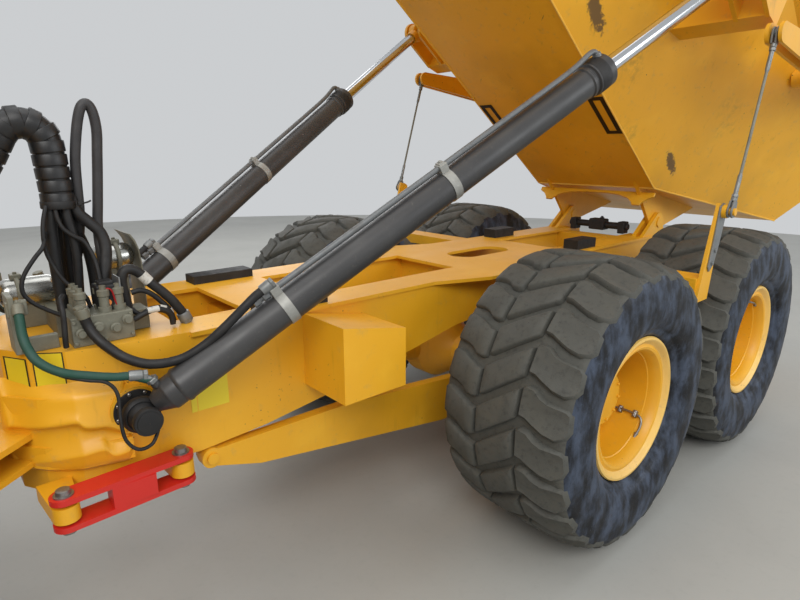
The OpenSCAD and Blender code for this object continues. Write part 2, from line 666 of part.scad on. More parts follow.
steer_cyl_z = 200;
steer_base_x = front_x - 27;
steer_base_y = 550;
steer_eye_x = -pivot_run + 273;
steer_eye_y = 430;
steer_barrel_len = 960;
steer_neck = 112;
steer_rod_len = 1000;
rail_y0 = 280;
rail_y1 = 380;
rail_z0 = 130;
rail_z1 = 430;
rail_back = -pivot_run - 797;
clevis_r = 150;

module front_frame() color(frame_grey) truck() {
    both_sides() {
        side_plate(rail_y0, rail_y1, [[front_end + 170, rail_z0], [rail_back, rail_z0], [rail_back, rail_z1],
            [front_end + 170, rail_z1]]);
        // Ears of the steering cylinders' base pins
        for (z = [steer_cyl_z - 66, steer_cyl_z + 42]) linear_extrude_at(z, 24)
            polygon([[steer_base_x - 130, rail_y1 - 5], [steer_base_x - 40, steer_base_y + 40],
                [steer_base_x + 40, steer_base_y + 40], [steer_base_x + 130, rail_y1 - 5]]);
        translate([steer_base_x, steer_base_y, steer_cyl_z - 72]) cylinder(r = 28, h = 144, $fn = 48);
    }
    for (x = [front_end + 170, front_x - 467, rail_back - 100]) block([x, -rail_y0 - 1, rail_z0 + 20], [x + 100, rail_y0 + 1, rail_z1]);
    block([rail_back - 90, -150, -95], [-pivot_run - 300, 150, rail_z1 - 55]);
    for (z = [-155, 375]) linear_extrude_at(z, 60) {
        polygon([[rail_back - 90, -rail_y0], [rail_back - 90, rail_y0], [-pivot_run, clevis_r], [-pivot_run, -clevis_r]]);
        translate([-pivot_run, 0]) circle(r = clevis_r, $fn = 64);
    }
    translate([-pivot_run, 0, -170]) cylinder(r = steer_pin_r, h = 620, $fn = 64);
    // Saddles on the front axle
    both_sides() difference() {
        block([front_x - 90, rail_y0, 70], [front_x + 90, rail_y1, rail_z0 + 1]);
        cross_bar(front_x, 0, rail_y0 - 1, rail_y1 + 1, axle_r + seat_gap);
    }
}

module steering_barrel() aim([steer_base_x, steer_base_y, steer_cyl_z], [steer_eye_x, steer_eye_y, steer_cyl_z]) {
    difference() {
        union() {
            rotate([0, 90, 0]) translate([0, 0, -36]) cylinder(r = 52, h = 72, $fn = 48);
            translate([0, 0, 40]) cylinder(r = 34, h = steer_neck - 30, $fn = 48);
            translate([0, 0, steer_neck]) cylinder(r = 55, h = steer_barrel_len - steer_neck, $fn = 48);
        }
        rotate([0, 90, 0]) translate([0, 0, -40]) cylinder(r = 28 + pin_gap, h = 80, $fn = 48);
        translate([0, 0, steer_neck + 15]) cylinder(r = 44, h = steer_barrel_len - steer_neck - 75, $fn = 48);
        translate([0, 0, steer_barrel_len - 70]) cylinder(r = 30 + pin_gap, h = 80, $fn = 48);
    }
}

steer_run = norm([steer_eye_x - steer_base_x, steer_eye_y - steer_base_y]);

module steering_rod() {
    aim([steer_base_x, steer_base_y, steer_cyl_z], [steer_eye_x, steer_eye_y, steer_cyl_z]) {
        translate([0, 0, steer_run - steer_rod_len]) cylinder(r = 30, h = steer_rod_len - 35, $fn = 48);
        translate([0, 0, steer_run]) rotate([0, 90, 0]) translate([0, 0, -34]) cylinder(r = 48, h = 68, $fn = 48);
    }
}

module driveline() color("#77797b") truck() {
    translate([head_back, 0, 0]) rotate([0, 90, 0]) cylinder(r = 55, h = -head_back - 330, $fn = 32);
    translate([235, 0, 0]) rotate([0, 90, 0]) cylinder(r = 50, h = bogie_base - 235 - 330, $fn = 32);
}

// Where the engine ends and its gearbox starts
engine_x = front_x - 977;

module engine_block() color("#6a6c6a") truck() {
    block([engine_x - 1050, -270, 200], [engine_x, 270, 1150]);
    block([engine_x, -230, 60], [front_x - 527, 230, 520]);
    // Feet on the rails
    for (x = [engine_x - 850, engine_x - 250]) block([x, seat_gap - rail_y0, 340], [x + 120, rail_y0 - seat_gap, rail_z1]);
    translate([front_x - 527, 0, 0]) rotate([0, 90, 0]) cylinder(r = 50, h = 197, $fn = 32);
}

hood_hinge = [front_end + 122, 430];
// Faces of the hinge's arms, and the top of the notches over its ears
hood_arm = [330, 370];
hood_notch = 528;
// The hood's side outline, t inside its skin
function hood_outline(t) = [[front_end + 70 + t, 440 - 9 * t], [front_end + 150 + t, 1340 - t], [-5070 + 9 * t, 1640 - t],
    [-5070 + 9 * t, 700 - 9 * t], [-5600, 440 - 9 * t]];

module hood() color(paint) truck() {
    difference() {
        intersection() {
            side_plate(-900, 900, hood_outline(0));
            cross_plate(front_end, -4900, [[-hood_w, 0], [hood_w, 0], [hood_w, 1150], [hood_w - 160, 1700],
                [-hood_w + 160, 1700], [-hood_w, 1150]]);
        }
        intersection() {
            side_plate(-900, 900, hood_outline(20));
            cross_plate(front_end, -4700, [[-hood_w + 20, 0], [hood_w - 20, 0], [hood_w - 20, 1145],
                [hood_w - 180, 1690], [-hood_w + 180, 1690], [-hood_w + 20, 1145]]);
        }
        for (i = [0:7]) block([front_end + 20, -480, 560 + i * 95], [front_end + 230, 480, 610 + i * 95]);
        // Notches over the ears of the hinge
        both_sides() block([front_end + 40, hood_arm[0] - 42, 400], [hood_hinge[0] + 20, hood_arm[1] + 42, hood_notch]);
    }
    both_sides() difference() {
        union() {
            cross_bar(hood_hinge[0], hood_hinge[1], hood_arm[0], hood_arm[1], 40);
            block([front_end + 74, hood_arm[0], hood_hinge[1]], [hood_hinge[0] + 20, hood_arm[1], hood_notch + 24]);
        }
        cross_bar(hood_hinge[0], hood_hinge[1], hood_arm[0] - 10, hood_arm[1] + 10, 18 + pin_gap);
    }
}

module bumper() color(paint) truck() {
    // Towing eyes under the bumper
    both_sides() difference() {
        side_plate(180, 220, [[front_end + 20, -199], [front_end + 20, -280], [front_end + 50, -310],
            [front_end + 110, -310], [front_end + 150, -199]]);
        cross_bar(front_end + 75, -255, 170, 230, tow_pin_r);
    }
    linear_extrude_at(-200, 560) polygon([[front_end, -800], [front_end, 800], [front_end + 160, 1180],
        [front_end + 240, 1180], [front_end + 170, 800], [front_end + 170, -800], [front_end + 240, -1180],
        [front_end + 160, -1180]]);
    // Ears and pins of the hood's hinge
    both_sides() {
        cross_bar(hood_hinge[0], hood_hinge[1], hood_arm[0] - 30, hood_arm[1] + 30, 18);
        for (y = [hood_arm[0] - 30, hood_arm[1] + move_gap]) block([hood_hinge[0] - 30, y, 350],
            [hood_hinge[0] + 30, y + 30 - move_gap, hood_hinge[1]]);
    }
}

fender_r = tyre_r + 60;
function fender_z(x) = sqrt(fender_r * fender_r - (x - front_x) * (x - front_x));

fender_in = 740;

module fenders() color(paint) truck() both_sides() {
    translate([front_x, fender_in, 0]) rotate([-90, 0, 0]) rotate([0, 0, -170]) rotate_extrude(angle = 160, $fn = 72)
        translate([fender_r, 0]) square([15, track_w / 2 + tyre_w / 2 - fender_in]);
    for (x = [front_x - 420, front_x + 250]) {
        block([x, rail_y0, rail_z1], [x + 60, rail_y1, 700]);
        side_plate(rail_y0, fender_in + 30, [[x, 620], [x, fender_z(x) + 4], [x + 60, fender_z(x + 60) + 4],
            [x + 60, 620]]);
    }
}

tank_x0 = engine_x - 1000;
tank_x1 = engine_x;
tank_z = 380;

module side_tanks() color(paint) truck() both_sides() {
    side_plate(rail_y1, 1250, [[tank_x0, -200], [tank_x0, tank_z - 50], [tank_x0 + 50, tank_z], [tank_x1 - 50, tank_z],
        [tank_x1, tank_z - 50], [tank_x1, -200], [tank_x1 - 100, -300], [tank_x0 + 100, -300]]);
}

module exhaust_stack() color("#8a8c8e") truck() {
    translate([tank_x1 - 100, 850, tank_z]) cylinder(r = 60, h = 1500, $fn = 32);
    translate([tank_x1 - 100, 850, tank_z + 320]) cylinder(r = 110, h = 800, $fn = 40);
}

// Cab

cab_x1 = front_x + cab_rear;
cab_x0 = cab_x1 - cab_len;
belt_z = 1650;
cab_lean = 100;
// Half width of the cab at the height z above its belt
function cab_side(z) = cab_w - cab_lean * (z - belt_z) / (cab_top - belt_z);

// The room t inside the cab's skin
module cab_room(t) intersection() {
    side_plate(-1000, 1000, [[cab_x0 + t, cab_low + t], [cab_x0 + t, cab_top - 100], [cab_x0 + 100, cab_top - t],
        [cab_x1 - 130, cab_top - t], [cab_x1 - t, cab_top - 130], [cab_x1 - t, cab_low + t]]);
    cross_plate(-6000, -3000, [[-cab_w + t, 0], [cab_w - t, 0], [cab_w - t, belt_z], [cab_w - cab_lean - t, cab_top],
        [-cab_w + cab_lean + t, cab_top], [-cab_w + t, belt_z]]);
}

door_gap = 8;
door_low = [cab_x0 + 90, -1000, cab_low + 60];
door_high = [cab_x0 + 950, -500, cab_top - 150];

// Window openings, each as its lowest and highest corner
windows = [
    [[cab_x0 - 20, -cab_w + 160, belt_z - 100], [cab_x0 + 80, cab_w - 160, cab_top - 170]],
    [[cab_x1 - 80, -cab_w + 220, belt_z], [cab_x1 + 20, cab_w - 220, cab_top - 230]],
    [[cab_x0 + 1030, -1000, belt_z], [cab_x1 - 110, -500, cab_top - 230]],
    [[cab_x0 + 110, 500, belt_z - 150], [cab_x0 + 900, 1000, cab_top - 230]],
    [[cab_x0 + 1030, 500, belt_z], [cab_x1 - 110, 1000, cab_top - 230]]];
door_window = [door_low + [90, 0, 420], door_high - [90, 0, 80]];

door_hinge = [door_low[0] + door_gap / 2, -cab_w - 16];
door_pin_r = 9;
knuckle_z = [cab_low + 200, cab_low + 620];

module cab_shell() color(paint) truck() {
    // Lower knuckles and pins of the door's hinges
    for (z = knuckle_z) {
        block([door_hinge[0] - 40, door_hinge[1] - 8, z], [door_hinge[0], -cab_w + 1, z + 30]);
        translate([door_hinge[0], door_hinge[1], z]) cylinder(r = 15, h = 30, $fn = 48);
        translate([door_hinge[0], door_hinge[1], z]) cylinder(r = door_pin_r, h = 66, $fn = 48);
    }
    difference() {
        cab_room(0);
        cab_room(cab_t);
        for (w = windows) block(w[0], w[1]);
        block(door_low, door_high);
    }
    both_sides() for (x = [cab_x0 + 150, cab_x1 - 250]) block([x, rail_y0, rail_z1], [x + 90, rail_y1, cab_low]);
}

module cab_door() color(paint) truck() difference() {
    union() {
        difference() {
            intersection() {
                difference() {
                    cab_room(0);
                    cab_room(cab_t);
                }
                block(door_low + [door_gap, 0, door_gap], door_high - [door_gap, 0, door_gap]);
            }
            block(door_window[0], door_window[1]);
        }
        for (z = knuckle_z) {
            block([door_hinge[0], door_hinge[1] - 8, z + 30 + seat_gap], [door_hinge[0] + 50, -cab_w + 1, z + 64]);
            translate([door_hinge[0], door_hinge[1], z + 30 + seat_gap]) cylinder(r = 15, h = 34 - seat_gap, $fn = 48);
        }
    }
    for (z = knuckle_z) translate([door_hinge[0], door_hinge[1], z]) cylinder(r = door_pin_r + pin_gap, h = 80, $fn = 48);
}

glass_at = 15;
glass_t = 6;

module pane() difference() {
    cab_room(glass_at);
    cab_room(glass_at + glass_t);
}

module door_glass() color([0.6, 0.75, 0.8, 0.4]) truck() intersection() {
    pane();
    block(door_window[0], door_window[1]);
}

module cab_glass() color([0.6, 0.75, 0.8, 0.4]) truck() for (w = windows) intersection() {
    pane();
    block(w[0], w[1]);
}

module cab_seat() color("#2c2d30") truck() translate([cab_x0 + 760, 0, cab_low + cab_t]) {
    block([-120, -160, 0], [240, 160, 300]);
    block([-230, -260, 300], [260, 260, 420]);
    block([200, -250, 420], [330, 250, 1050]);
}

module dashboard() color("#2f3033") truck() translate([cab_x0 + cab_t, 0, cab_low + cab_t]) {
    side_plate(-600, 600, [[0, 0], [0, 620], [120, 640], [300, 560], [330, 420], [200, 0]]);
    aim([240, 0, 560], [470, 0, 860]) {
        cylinder(r = 30, h = 340, $fn = 32);
        translate([0, 0, 340]) cylinder(r = 200, h = 26, $fn = 48);
    }
}

mirror_z = belt_z + 500;

module mirrors() color("#232426") truck() both_sides() {
    cross_bar(cab_x0 + 40, mirror_z, cab_side(mirror_z - 16) + seat_gap, cab_w + 320, 16);
    block([cab_x0 + 10, cab_w + 300, belt_z + 180], [cab_x0 + 70, cab_w + 500, belt_z + 620]);
}

module front_lamps() color("#e8eef0") truck() both_sides()
    translate([front_end - 20, 560, 80]) rotate([0, 90, 0]) cylinder(r = 85, h = 20, $fn = 40);

module rear_lamps() color("#a02020") truck() both_sides()
    block([rail_end + seat_gap, 304, 430], [rail_end + 50, 364, 530]);

module tyre_front_left() tyre(front_x, -1);
module tyre_front_right() tyre(front_x, 1);
module tyre_middle_left() tyre(0, -1);
module tyre_middle_right() tyre(0, 1);
module tyre_rear_left() tyre(bogie_base, -1);
module tyre_rear_right() tyre(bogie_base, 1);
module rim_front_left() rim(front_x, -1);
module rim_front_right() rim(front_x, 1);
module rim_middle_left() rim(0, -1);
module rim_middle_right() rim(0, 1);
module rim_rear_left() rim(bogie_base, -1);
module rim_rear_right() rim(bogie_base, 1);

dark = "#4a4b4e";
module hoist_barrel_right() color(dark) truck() hoist_barrel();
module hoist_barrel_left() mirror([0, 1, 0]) hoist_barrel_right();
module hoist_rod_right() color("#d5d8da") truck() hoist_rod();
module hoist_rod_left() mirror([0, 1, 0]) hoist_rod_right();
module gate_cable_right() color("#b9bcbc") truck() gate_cable();
module gate_cable_left() mirror([0, 1, 0]) gate_cable_right();
module steering_barrel_right() color(dark) truck() steering_barrel();
module steering_barrel_left() mirror([0, 1, 0]) steering_barrel_right();
module steering_rod_right() color("#d5d8da") truck() steering_rod();
module steering_rod_left() mirror([0, 1, 0]) steering_rod_right();

tyre_front_left();
tyre_front_right();
tyre_middle_left();
tyre_middle_right();
tyre_rear_left();
tyre_rear_right();
rim_front_left();
rim_front_right();
rim_middle_left();
rim_middle_right();
rim_rear_left();
rim_rear_right();
rear_frame();
bogie_beams();
middle_axle();
rear_axle();
axle_stays();
side_box();
lock_link();
valve_block();
hydraulic_hoses();
rest_pads();
hoist_barrel_left();
hoist_barrel_right();
hoist_rod_left();
hoist_rod_right();
load_body();
tailgate();
gate_cable_left();
gate_cable_right();
front_frame();
front_axle();
driveline();
steering_barrel_left();
steering_barrel_right();
steering_rod_left();
steering_rod_right();
engine_block();
hood();
bumper();
fenders();
side_tanks();
exhaust_stack();
cab_shell();
cab_door();
door_glass();
cab_glass();
cab_seat();
dashboard();
mirrors();
front_lamps();
rear_lamps();
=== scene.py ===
"""The looks of an articulated dump truck with its load body raised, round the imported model.

Lengths are in metres. Places on the truck are given as along, across and up from the middle of the front bogie
axle, and place() turns them into the frame's own coordinates.
"""

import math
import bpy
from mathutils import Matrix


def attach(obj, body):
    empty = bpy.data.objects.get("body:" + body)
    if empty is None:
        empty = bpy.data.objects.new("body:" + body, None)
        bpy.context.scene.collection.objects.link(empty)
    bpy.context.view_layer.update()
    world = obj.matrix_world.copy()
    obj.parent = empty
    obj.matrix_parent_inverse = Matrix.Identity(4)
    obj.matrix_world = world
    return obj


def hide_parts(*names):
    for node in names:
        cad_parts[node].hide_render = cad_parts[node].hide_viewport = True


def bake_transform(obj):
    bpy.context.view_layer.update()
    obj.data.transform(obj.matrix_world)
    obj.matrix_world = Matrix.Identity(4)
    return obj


bl_info = {
    "name": "Articulated dump truck",
    "version": (1, 0, 0),
    "blender": (4, 5, 0),
    "location": "3D View > Sidebar > Dump truck",
    "description": "Dresses the packed dump truck with tyres, hoses, castings, trim and finishes",
    "category": "Object",
}

import bmesh
import bpy
from mathutils import Matrix, Quaternion, Vector

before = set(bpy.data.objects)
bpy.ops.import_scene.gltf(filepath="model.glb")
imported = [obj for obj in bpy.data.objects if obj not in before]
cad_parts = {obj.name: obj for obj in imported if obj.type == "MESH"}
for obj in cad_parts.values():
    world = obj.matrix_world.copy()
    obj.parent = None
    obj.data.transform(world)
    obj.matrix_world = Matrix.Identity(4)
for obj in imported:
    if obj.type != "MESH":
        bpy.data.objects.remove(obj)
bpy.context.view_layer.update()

BOGIE_X = 1.2378
AXLE_Z = 0.775
BOGIE_BASE = 1.67
FRONT_X = -4.173
HINGE = Vector((2.264, 0.0, 0.693))
TIP = math.radians(36)
SIDES = (("left", -1), ("right", 1))
WHEELS = (("front", FRONT_X), ("middle", 0.0), ("rear", BOGIE_BASE))


def place(x, y, z):
    """A point of the truck in the frame's coordinates."""
    return Vector((x + BOGIE_X, y, z + AXLE_Z))


def raised(x, y, z):
    """A point of the load body, given as it lies when lowered, where it is now."""
    dx, dz = x - HINGE.x, z - HINGE.z
    return place(HINGE.x + dx * math.cos(TIP) + dz * math.sin(TIP), y,
                 HINGE.z - dx * math.sin(TIP) + dz * math.cos(TIP))


# Modelling by hand, one step at a time


def only(*objects):
    """Selects these objects and nothing else."""
    bpy.ops.object.select_all(action="DESELECT")
    for piece in objects:
        piece.select_set(True)
    bpy.context.view_layer.objects.active = objects[0]


def settle(piece):
    """Puts the piece's origin at the frame's, with its place in its mesh."""
    only(piece)
    bpy.ops.object.transform_apply(location=True, rotation=True, scale=True)
    return piece


def pick_all():
    """A step that chooses everything."""
    bpy.ops.mesh.select_all(action="SELECT")


def edit_all(piece, *steps):
    """Runs the steps in edit mode on the whole piece."""
    only(piece)
    bpy.ops.object.mode_set(mode="EDIT")
    pick_all()
    for step in steps:
        step()
    bpy.ops.object.mode_set(mode="OBJECT")
    return piece


def edit_faces(piece, chosen, *steps):
    """Runs the steps in edit mode on the faces that are chosen by their middle and normal."""
    only(piece)
    bpy.ops.object.mode_set(mode="EDIT")
    bpy.ops.mesh.select_mode(type="FACE")
    bpy.ops.mesh.select_all(action="DESELECT")
    mesh = bmesh.from_edit_mesh(piece.data)
    for face in mesh.faces:
        face.select_set(bool(chosen(face.calc_center_median(), face.normal)))
    bmesh.update_edit_mesh(piece.data)
    for step in steps:
        step()
    bpy.ops.object.mode_set(mode="OBJECT")
    return piece


def extrude(move):
    """A step that draws the chosen faces or corners out."""
    return lambda: bpy.ops.mesh.extrude_region_move(TRANSFORM_OT_translate={"value": Vector(move)})


def inset(width):
    """A step that sets a rim of that width inside each chosen region."""
    return lambda: bpy.ops.mesh.inset(thickness=width)


def with_modifier(piece, kind, **settings):
    """Adds a modifier with its settings and applies it."""
    only(piece)
    step = piece.modifiers.new("step", kind)
    for name, value in settings.items():
        setattr(step, name, value)
    bpy.ops.object.modifier_apply(modifier=step.name)
    return piece


def bevelled(piece, width, segments=2):
    """The piece with its sharp edges bevelled."""
    return with_modifier(piece, "BEVEL", width=width, segments=segments, limit_method="ANGLE",
                         angle_limit=math.radians(40), harden_normals=False)


def smooth(piece, angle):
    """The piece shaded smooth, with edges sharper than angle kept."""
    only(piece)
    bpy.ops.object.shade_smooth_by_angle(angle=math.radians(angle))
    return piece


def set_faces_right(piece):
    """Merges doubles and turns every face outwards."""
    return edit_all(piece, lambda: bpy.ops.mesh.remove_doubles(threshold=0.00005),
                    lambda: bpy.ops.mesh.normals_make_consistent(inside=False))


def box(low, high):
    """A cuboid between two corners, to be shaped further."""
    low, high = Vector(low), Vector(high)
    bpy.ops.mesh.primitive_cube_add(size=1, location=(low + high) / 2)
    piece = bpy.context.object
    piece.scale = high - low
    return settle(piece)


def bar(start, end, radius, end_radius=None, sides=24):
    """A round bar between two points."""
    start, end = Vector(start), Vector(end)
    run = end - start
    bpy.ops.mesh.primitive_cone_add(vertices=sides, radius1=radius,
                                    radius2=radius if end_radius is None else end_radius, depth=run.length,
                                    location=(start + end) / 2)
    piece = bpy.context.object
    piece.rotation_mode = "QUATERNION"
    piece.rotation_quaternion = run.to_track_quat("Z", "Y")
    return settle(piece)


def drawn(points):
    """A wire through points, drawn by extruding one corner along them."""
    bpy.ops.mesh.primitive_plane_add(size=0.001, location=points[0])
    piece = settle(bpy.context.object)
    bpy.ops.object.mode_set(mode="EDIT")
    bpy.ops.mesh.select_mode(type="VERT")
    bpy.ops.mesh.select_all(action="SELECT")
    bpy.ops.mesh.merge(type="CENTER")
    for start, end in zip(points, points[1:]):
        bpy.ops.mesh.extrude_region_move(TRANSFORM_OT_translate={"value": Vector(end) - Vector(start)})
    bpy.ops.object.mode_set(mode="OBJECT")
    return piece


def slab(outline, push):
    """A closed outline of points filled and extruded by push."""
    return set_faces_right(edit_all(drawn([Vector(p) for p in outline]), bpy.ops.mesh.edge_face_add, extrude(push)))


def lathe(profile, centre, axis, steps=48):
    """A profile of (along, radius) turned about an axis through centre."""
    axis = Vector(axis).normalized()
    out = axis.orthogonal().normalized()
    centre = Vector(centre)
    piece = drawn([centre + axis * a + out * r for a, r in profile])
    return set_faces_right(edit_all(piece, lambda: bpy.ops.mesh.spin(steps=steps, angle=math.tau, center=centre,
                                                                     axis=axis)))


def copied(piece, matrix):
    """A copy with its own mesh, turned and moved by a matrix."""
    twin = piece.copy()
    twin.data = piece.data.copy()
    bpy.context.collection.objects.link(twin)
    twin.data.transform(matrix)
    return twin


def joined(name, pieces):
    """Several meshes as one piece."""
    only(*pieces)
    if len(pieces) > 1:
        bpy.ops.object.join()
    piece = bpy.context.object
    piece.name = name
    piece.data.name = name
    return piece


def tube(points, radius, sides=12, kind="NURBS", resolution=4):
    """A smooth round tube through points, as a mesh."""
    bpy.ops.curve.primitive_nurbs_path_add()
    path = bpy.context.object
    curve = path.data
    curve.splines.clear()
    spline = curve.splines.new(kind)
    spline.points.add(len(points) - 1)
    for knot, point in zip(spline.points, points):
        knot.co = (*point, 1.0)
    spline.use_endpoint_u = True
    spline.order_u = 4
    spline.resolution_u = resolution
    curve.dimensions = "3D"
    curve.bevel_depth = radius
    curve.bevel_resolution = max(1, sides // 4 - 1)
    curve.use_fill_caps = True
    path.location = (0, 0, 0)
    only(path)
    bpy.ops.object.convert(target="MESH")
    return smooth(bpy.context.object, 60)


def pipe(points, radius, sides):
    """A tube through points of the truck."""
    return tube([place(*p) for p in points], radius, sides)


def bolts(centre, axis, ring, count, radius, height, turn=0.0):
    """Hexagon bolt heads on a ring round an axis."""
    axis = Vector(axis).normalized()
    out = axis.orthogonal().normalized()
    centre = Vector(centre)
    made = []
    for i in range(count):
        arm = Quaternion(axis, math.tau * i / count + turn) @ out * ring
        made.append(bar(centre + arm, centre + arm + axis * height, radius, radius * 0.92, sides=6))
    return made


def one_bolt(centre, axis, radius, height, width):
    """A bolt head on its own, with edges bevelled by width."""
    return bevelled(bolts(centre, axis, 0.0001, 1, radius, height)[0], width, 1)


def dress(piece, look, body):
    """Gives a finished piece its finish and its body."""
    piece.data.materials.clear()
    piece.data.materials.append(finish(look))
    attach(piece, body)
    return piece


def finished(name, parts, look, body, stands_for=None):
    """Joins parts as one piece and dresses it; stands_for is the solid that it replaces."""
    piece = joined(name, parts)
    if stands_for:
        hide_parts(stands_for)
    return dress(piece, look, body)


# Finishes


def tone(colour):
    """A colour as it looks on screen, as Blender's linear numbers."""
    return tuple(c / 12.92 if c <= 0.04045 else ((c + 0.055) / 1.055) ** 2.4 for c in colour) + (1.0,)


class Finish:
    """One node material, built from patterns on Object coordinates."""

    def __init__(self, name, colour, roughness=0.5, metallic=0.0, **sockets):
        self.material = bpy.data.materials.new(f"{name}_finish")
        self.material.use_nodes = True
        self.tree = self.material.node_tree
        self.shader = self.tree.nodes["Principled BSDF"]
        self.shader.inputs["Base Color"].default_value = tone(colour)
        self.shader.inputs["Roughness"].default_value = roughness
        self.shader.inputs["Metallic"].default_value = metallic
        for socket, value in sockets.items():
            self.shader.inputs[socket.replace("_", " ")].default_value = value
        self.colour = tone(colour)
        self.where = self.tree.nodes.new("ShaderNodeTexCoord").outputs["Object"]
        self.lumps = None

    def node(self, kind, **settings):
        """A new node with its settings."""
        made = self.tree.nodes.new(kind)
        for name, value in settings.items():
            setattr(made, name, value)
        return made

    def set(self, socket, value):
        """Links a socket to another, or sets it to a number."""
        if isinstance(value, bpy.types.NodeSocket):
            self.tree.links.new(value, socket)
        else:
            socket.default_value = value

    def stretched(self, stretch, turn=(0, 0, 0), middle=(0, 0, 0)):
        """Object coordinates, centred, turned and stretched."""
        mapping = self.node("ShaderNodeMapping", vector_type="TEXTURE")
        mapping.inputs["Location"].default_value = middle
        mapping.inputs["Rotation"].default_value = turn
        mapping.inputs["Scale"].default_value = stretch
        self.tree.links.new(self.where, mapping.inputs["Vector"])
        return mapping.outputs["Vector"]

    def mottle(self, size, detail=4.0, rough=0.55, where=None):
        """Soft noise with lumps of about size metres."""
        noise = self.node("ShaderNodeTexNoise")
        noise.inputs["Scale"].default_value = 1.0 / size
        noise.inputs["Detail"].default_value = detail
        noise.inputs["Roughness"].default_value = rough
        self.tree.links.new(where or self.where, noise.inputs["Vector"])
        return noise.outputs["Fac"]

    def cells(self, size):
        """Distance from the middles of random cells of about size metres."""
        cells = self.node("ShaderNodeTexVoronoi")
        cells.inputs["Scale"].default_value = 1.0 / size
        self.tree.links.new(self.where, cells.inputs["Vector"])
        return cells.outputs["Distance"]

    def cut(self, value, low, high, to_low=0.0, to_high=1.0):
        """A value taken from low..high to to_low..to_high and held at the ends."""
        step = self.node("ShaderNodeMapRange", clamp=True)
        step.interpolation_type = "SMOOTHSTEP"
        self.set(step.inputs["Value"], value)
        for socket, number in zip(("From Min", "From Max", "To Min", "To Max"), (low, high, to_low, to_high)):
            step.inputs[socket].default_value = number
        return step.outputs["Result"]

    def math(self, operation, a, b):
        """The result of an operation on two values."""
        step = self.node("ShaderNodeMath", operation=operation)
        self.set(step.inputs[0], a)
        self.set(step.inputs[1], b)
        return step.outputs[0]

    def tint(self, mask, colour):
        """Lays a colour over what is there, by the mask."""
        mix = self.node("ShaderNodeMix", data_type="RGBA")
        self.set(mix.inputs[0], mask)
        self.set(mix.inputs[6], self.colour)
        mix.inputs[7].default_value = tone(colour)
        self.colour = mix.outputs[2]
        self.tree.links.new(self.colour, self.shader.inputs["Base Color"])

    def gloss(self, mask, low, high):
        """Roughness from low to high by the mask."""
        self.tree.links.new(self.cut(mask, 0.0, 1.0, low, high), self.shader.inputs["Roughness"])

    def relief(self, height, strength, depth):
        """Bump of a depth in metres, laid over the bump that is there."""
        bump = self.node("ShaderNodeBump")
        bump.inputs["Strength"].default_value = strength
        bump.inputs["Distance"].default_value = depth
        self.tree.links.new(height, bump.inputs["Height"])
        if self.lumps:
            self.tree.links.new(self.lumps, bump.inputs["Normal"])
        self.lumps = bump.outputs["Normal"]
        self.tree.links.new(self.lumps, self.shader.inputs["Normal"])


def painted(name, colour, wear=1.0, dust=(0.62, 0.55, 0.42)):
    """Machine paint with faded patches, dust, scratches and small chips."""
    look = Finish(name, colour, 0.42, Coat_Weight=0.15, Coat_Roughness=0.3)
    dark = tuple(c * 0.80 for c in colour)
    light = (min(1, colour[0] * 1.03 + 0.02), min(1, colour[1] * 1.07 + 0.03), min(1, colour[2] + 0.08))
    look.tint(look.cut(look.mottle(0.9, 3), 0.42, 0.72, 0, 0.55), dark)
    look.tint(look.cut(look.mottle(0.35, 6), 0.5, 0.75, 0, 0.45), light)
    look.tint(look.cut(look.mottle(0.06, 8, 0.7), 0.55, 0.75, 0, 0.25 * wear), dust)
    runs = look.mottle(0.05, 5, 0.6, look.stretched((1, 1, 9)))
    look.tint(look.cut(runs, 0.6, 0.8, 0, 0.28 * wear), tuple(c * 0.62 for c in colour))
    scratch = look.mottle(0.012, 2, 0.5, look.stretched((14, 1, 1), (0.2, 0.5, 0.9)))
    scratch = look.math("MULTIPLY", look.cut(scratch, 0.70, 0.73), look.cut(look.mottle(0.5, 2), 0.5, 0.62))
    look.tint(look.math("MULTIPLY", scratch, 0.6 * wear), (0.30, 0.25, 0.18))
    chips = look.math("MULTIPLY", look.cut(look.cells(0.05), 0.085, 0.06), look.cut(look.mottle(0.4, 4), 0.56, 0.66))
    look.tint(look.math("MULTIPLY", chips, 0.75 * wear), (0.20, 0.14, 0.10))
    look.gloss(look.mottle(0.25, 5), 0.34, 0.58)
    look.relief(look.mottle(0.5, 2), 0.25, 0.004)
    look.relief(look.mottle(0.004, 2), 0.12, 0.0006)
    return look


def user_paint(name, share=1.0, wear=1.0):
    """The main paint that the user sets, a little lighter or darker."""
    return painted(name, tuple(share * c for c in bpy.context.scene.truck_finishes.paint), wear)


def link_paint(name):
    """The red that the user sets, with red-brown dust."""
    return painted(name, bpy.context.scene.truck_finishes.link, 0.9, (0.70, 0.34, 0.26))


def body_paint(name):
    """The load body's paint: scorched and rubbed patches on its floor, and dirt from its loads."""
    look = user_paint(name, 1.03, 1.3)
    rubbed = look.math("MULTIPLY", look.cut(look.mottle(0.7, 5, 0.6), 0.60, 0.72),
                       look.cut(look.mottle(0.05, 6, 0.7), 0.38, 0.6))
    look.tint(look.math("MULTIPLY", rubbed, 0.35), (0.42, 0.31, 0.16))
    # Scorched spots on the near side, as place on the lowered body and half sizes
    for middle, half in (((0.13, -0.665, 0.905), (0.15, 0.12, 0.042)), ((1.70, -0.66, 0.91), (0.125, 0.10, 0.030))):
        spot = look.node("ShaderNodeVectorMath", operation="LENGTH")
        look.tree.links.new(look.stretched(half, (0, TIP + 0.16, 0), raised(*middle)), spot.inputs[0])
        ragged = look.math("ADD", spot.outputs["Value"], look.cut(look.mottle(0.03, 6, 0.7), 0.3, 0.7, -0.35, 0.35))
        look.tint(look.cut(ragged, 1.15, 0.75, 0, 0.85), (0.25, 0.19, 0.14))
    return look


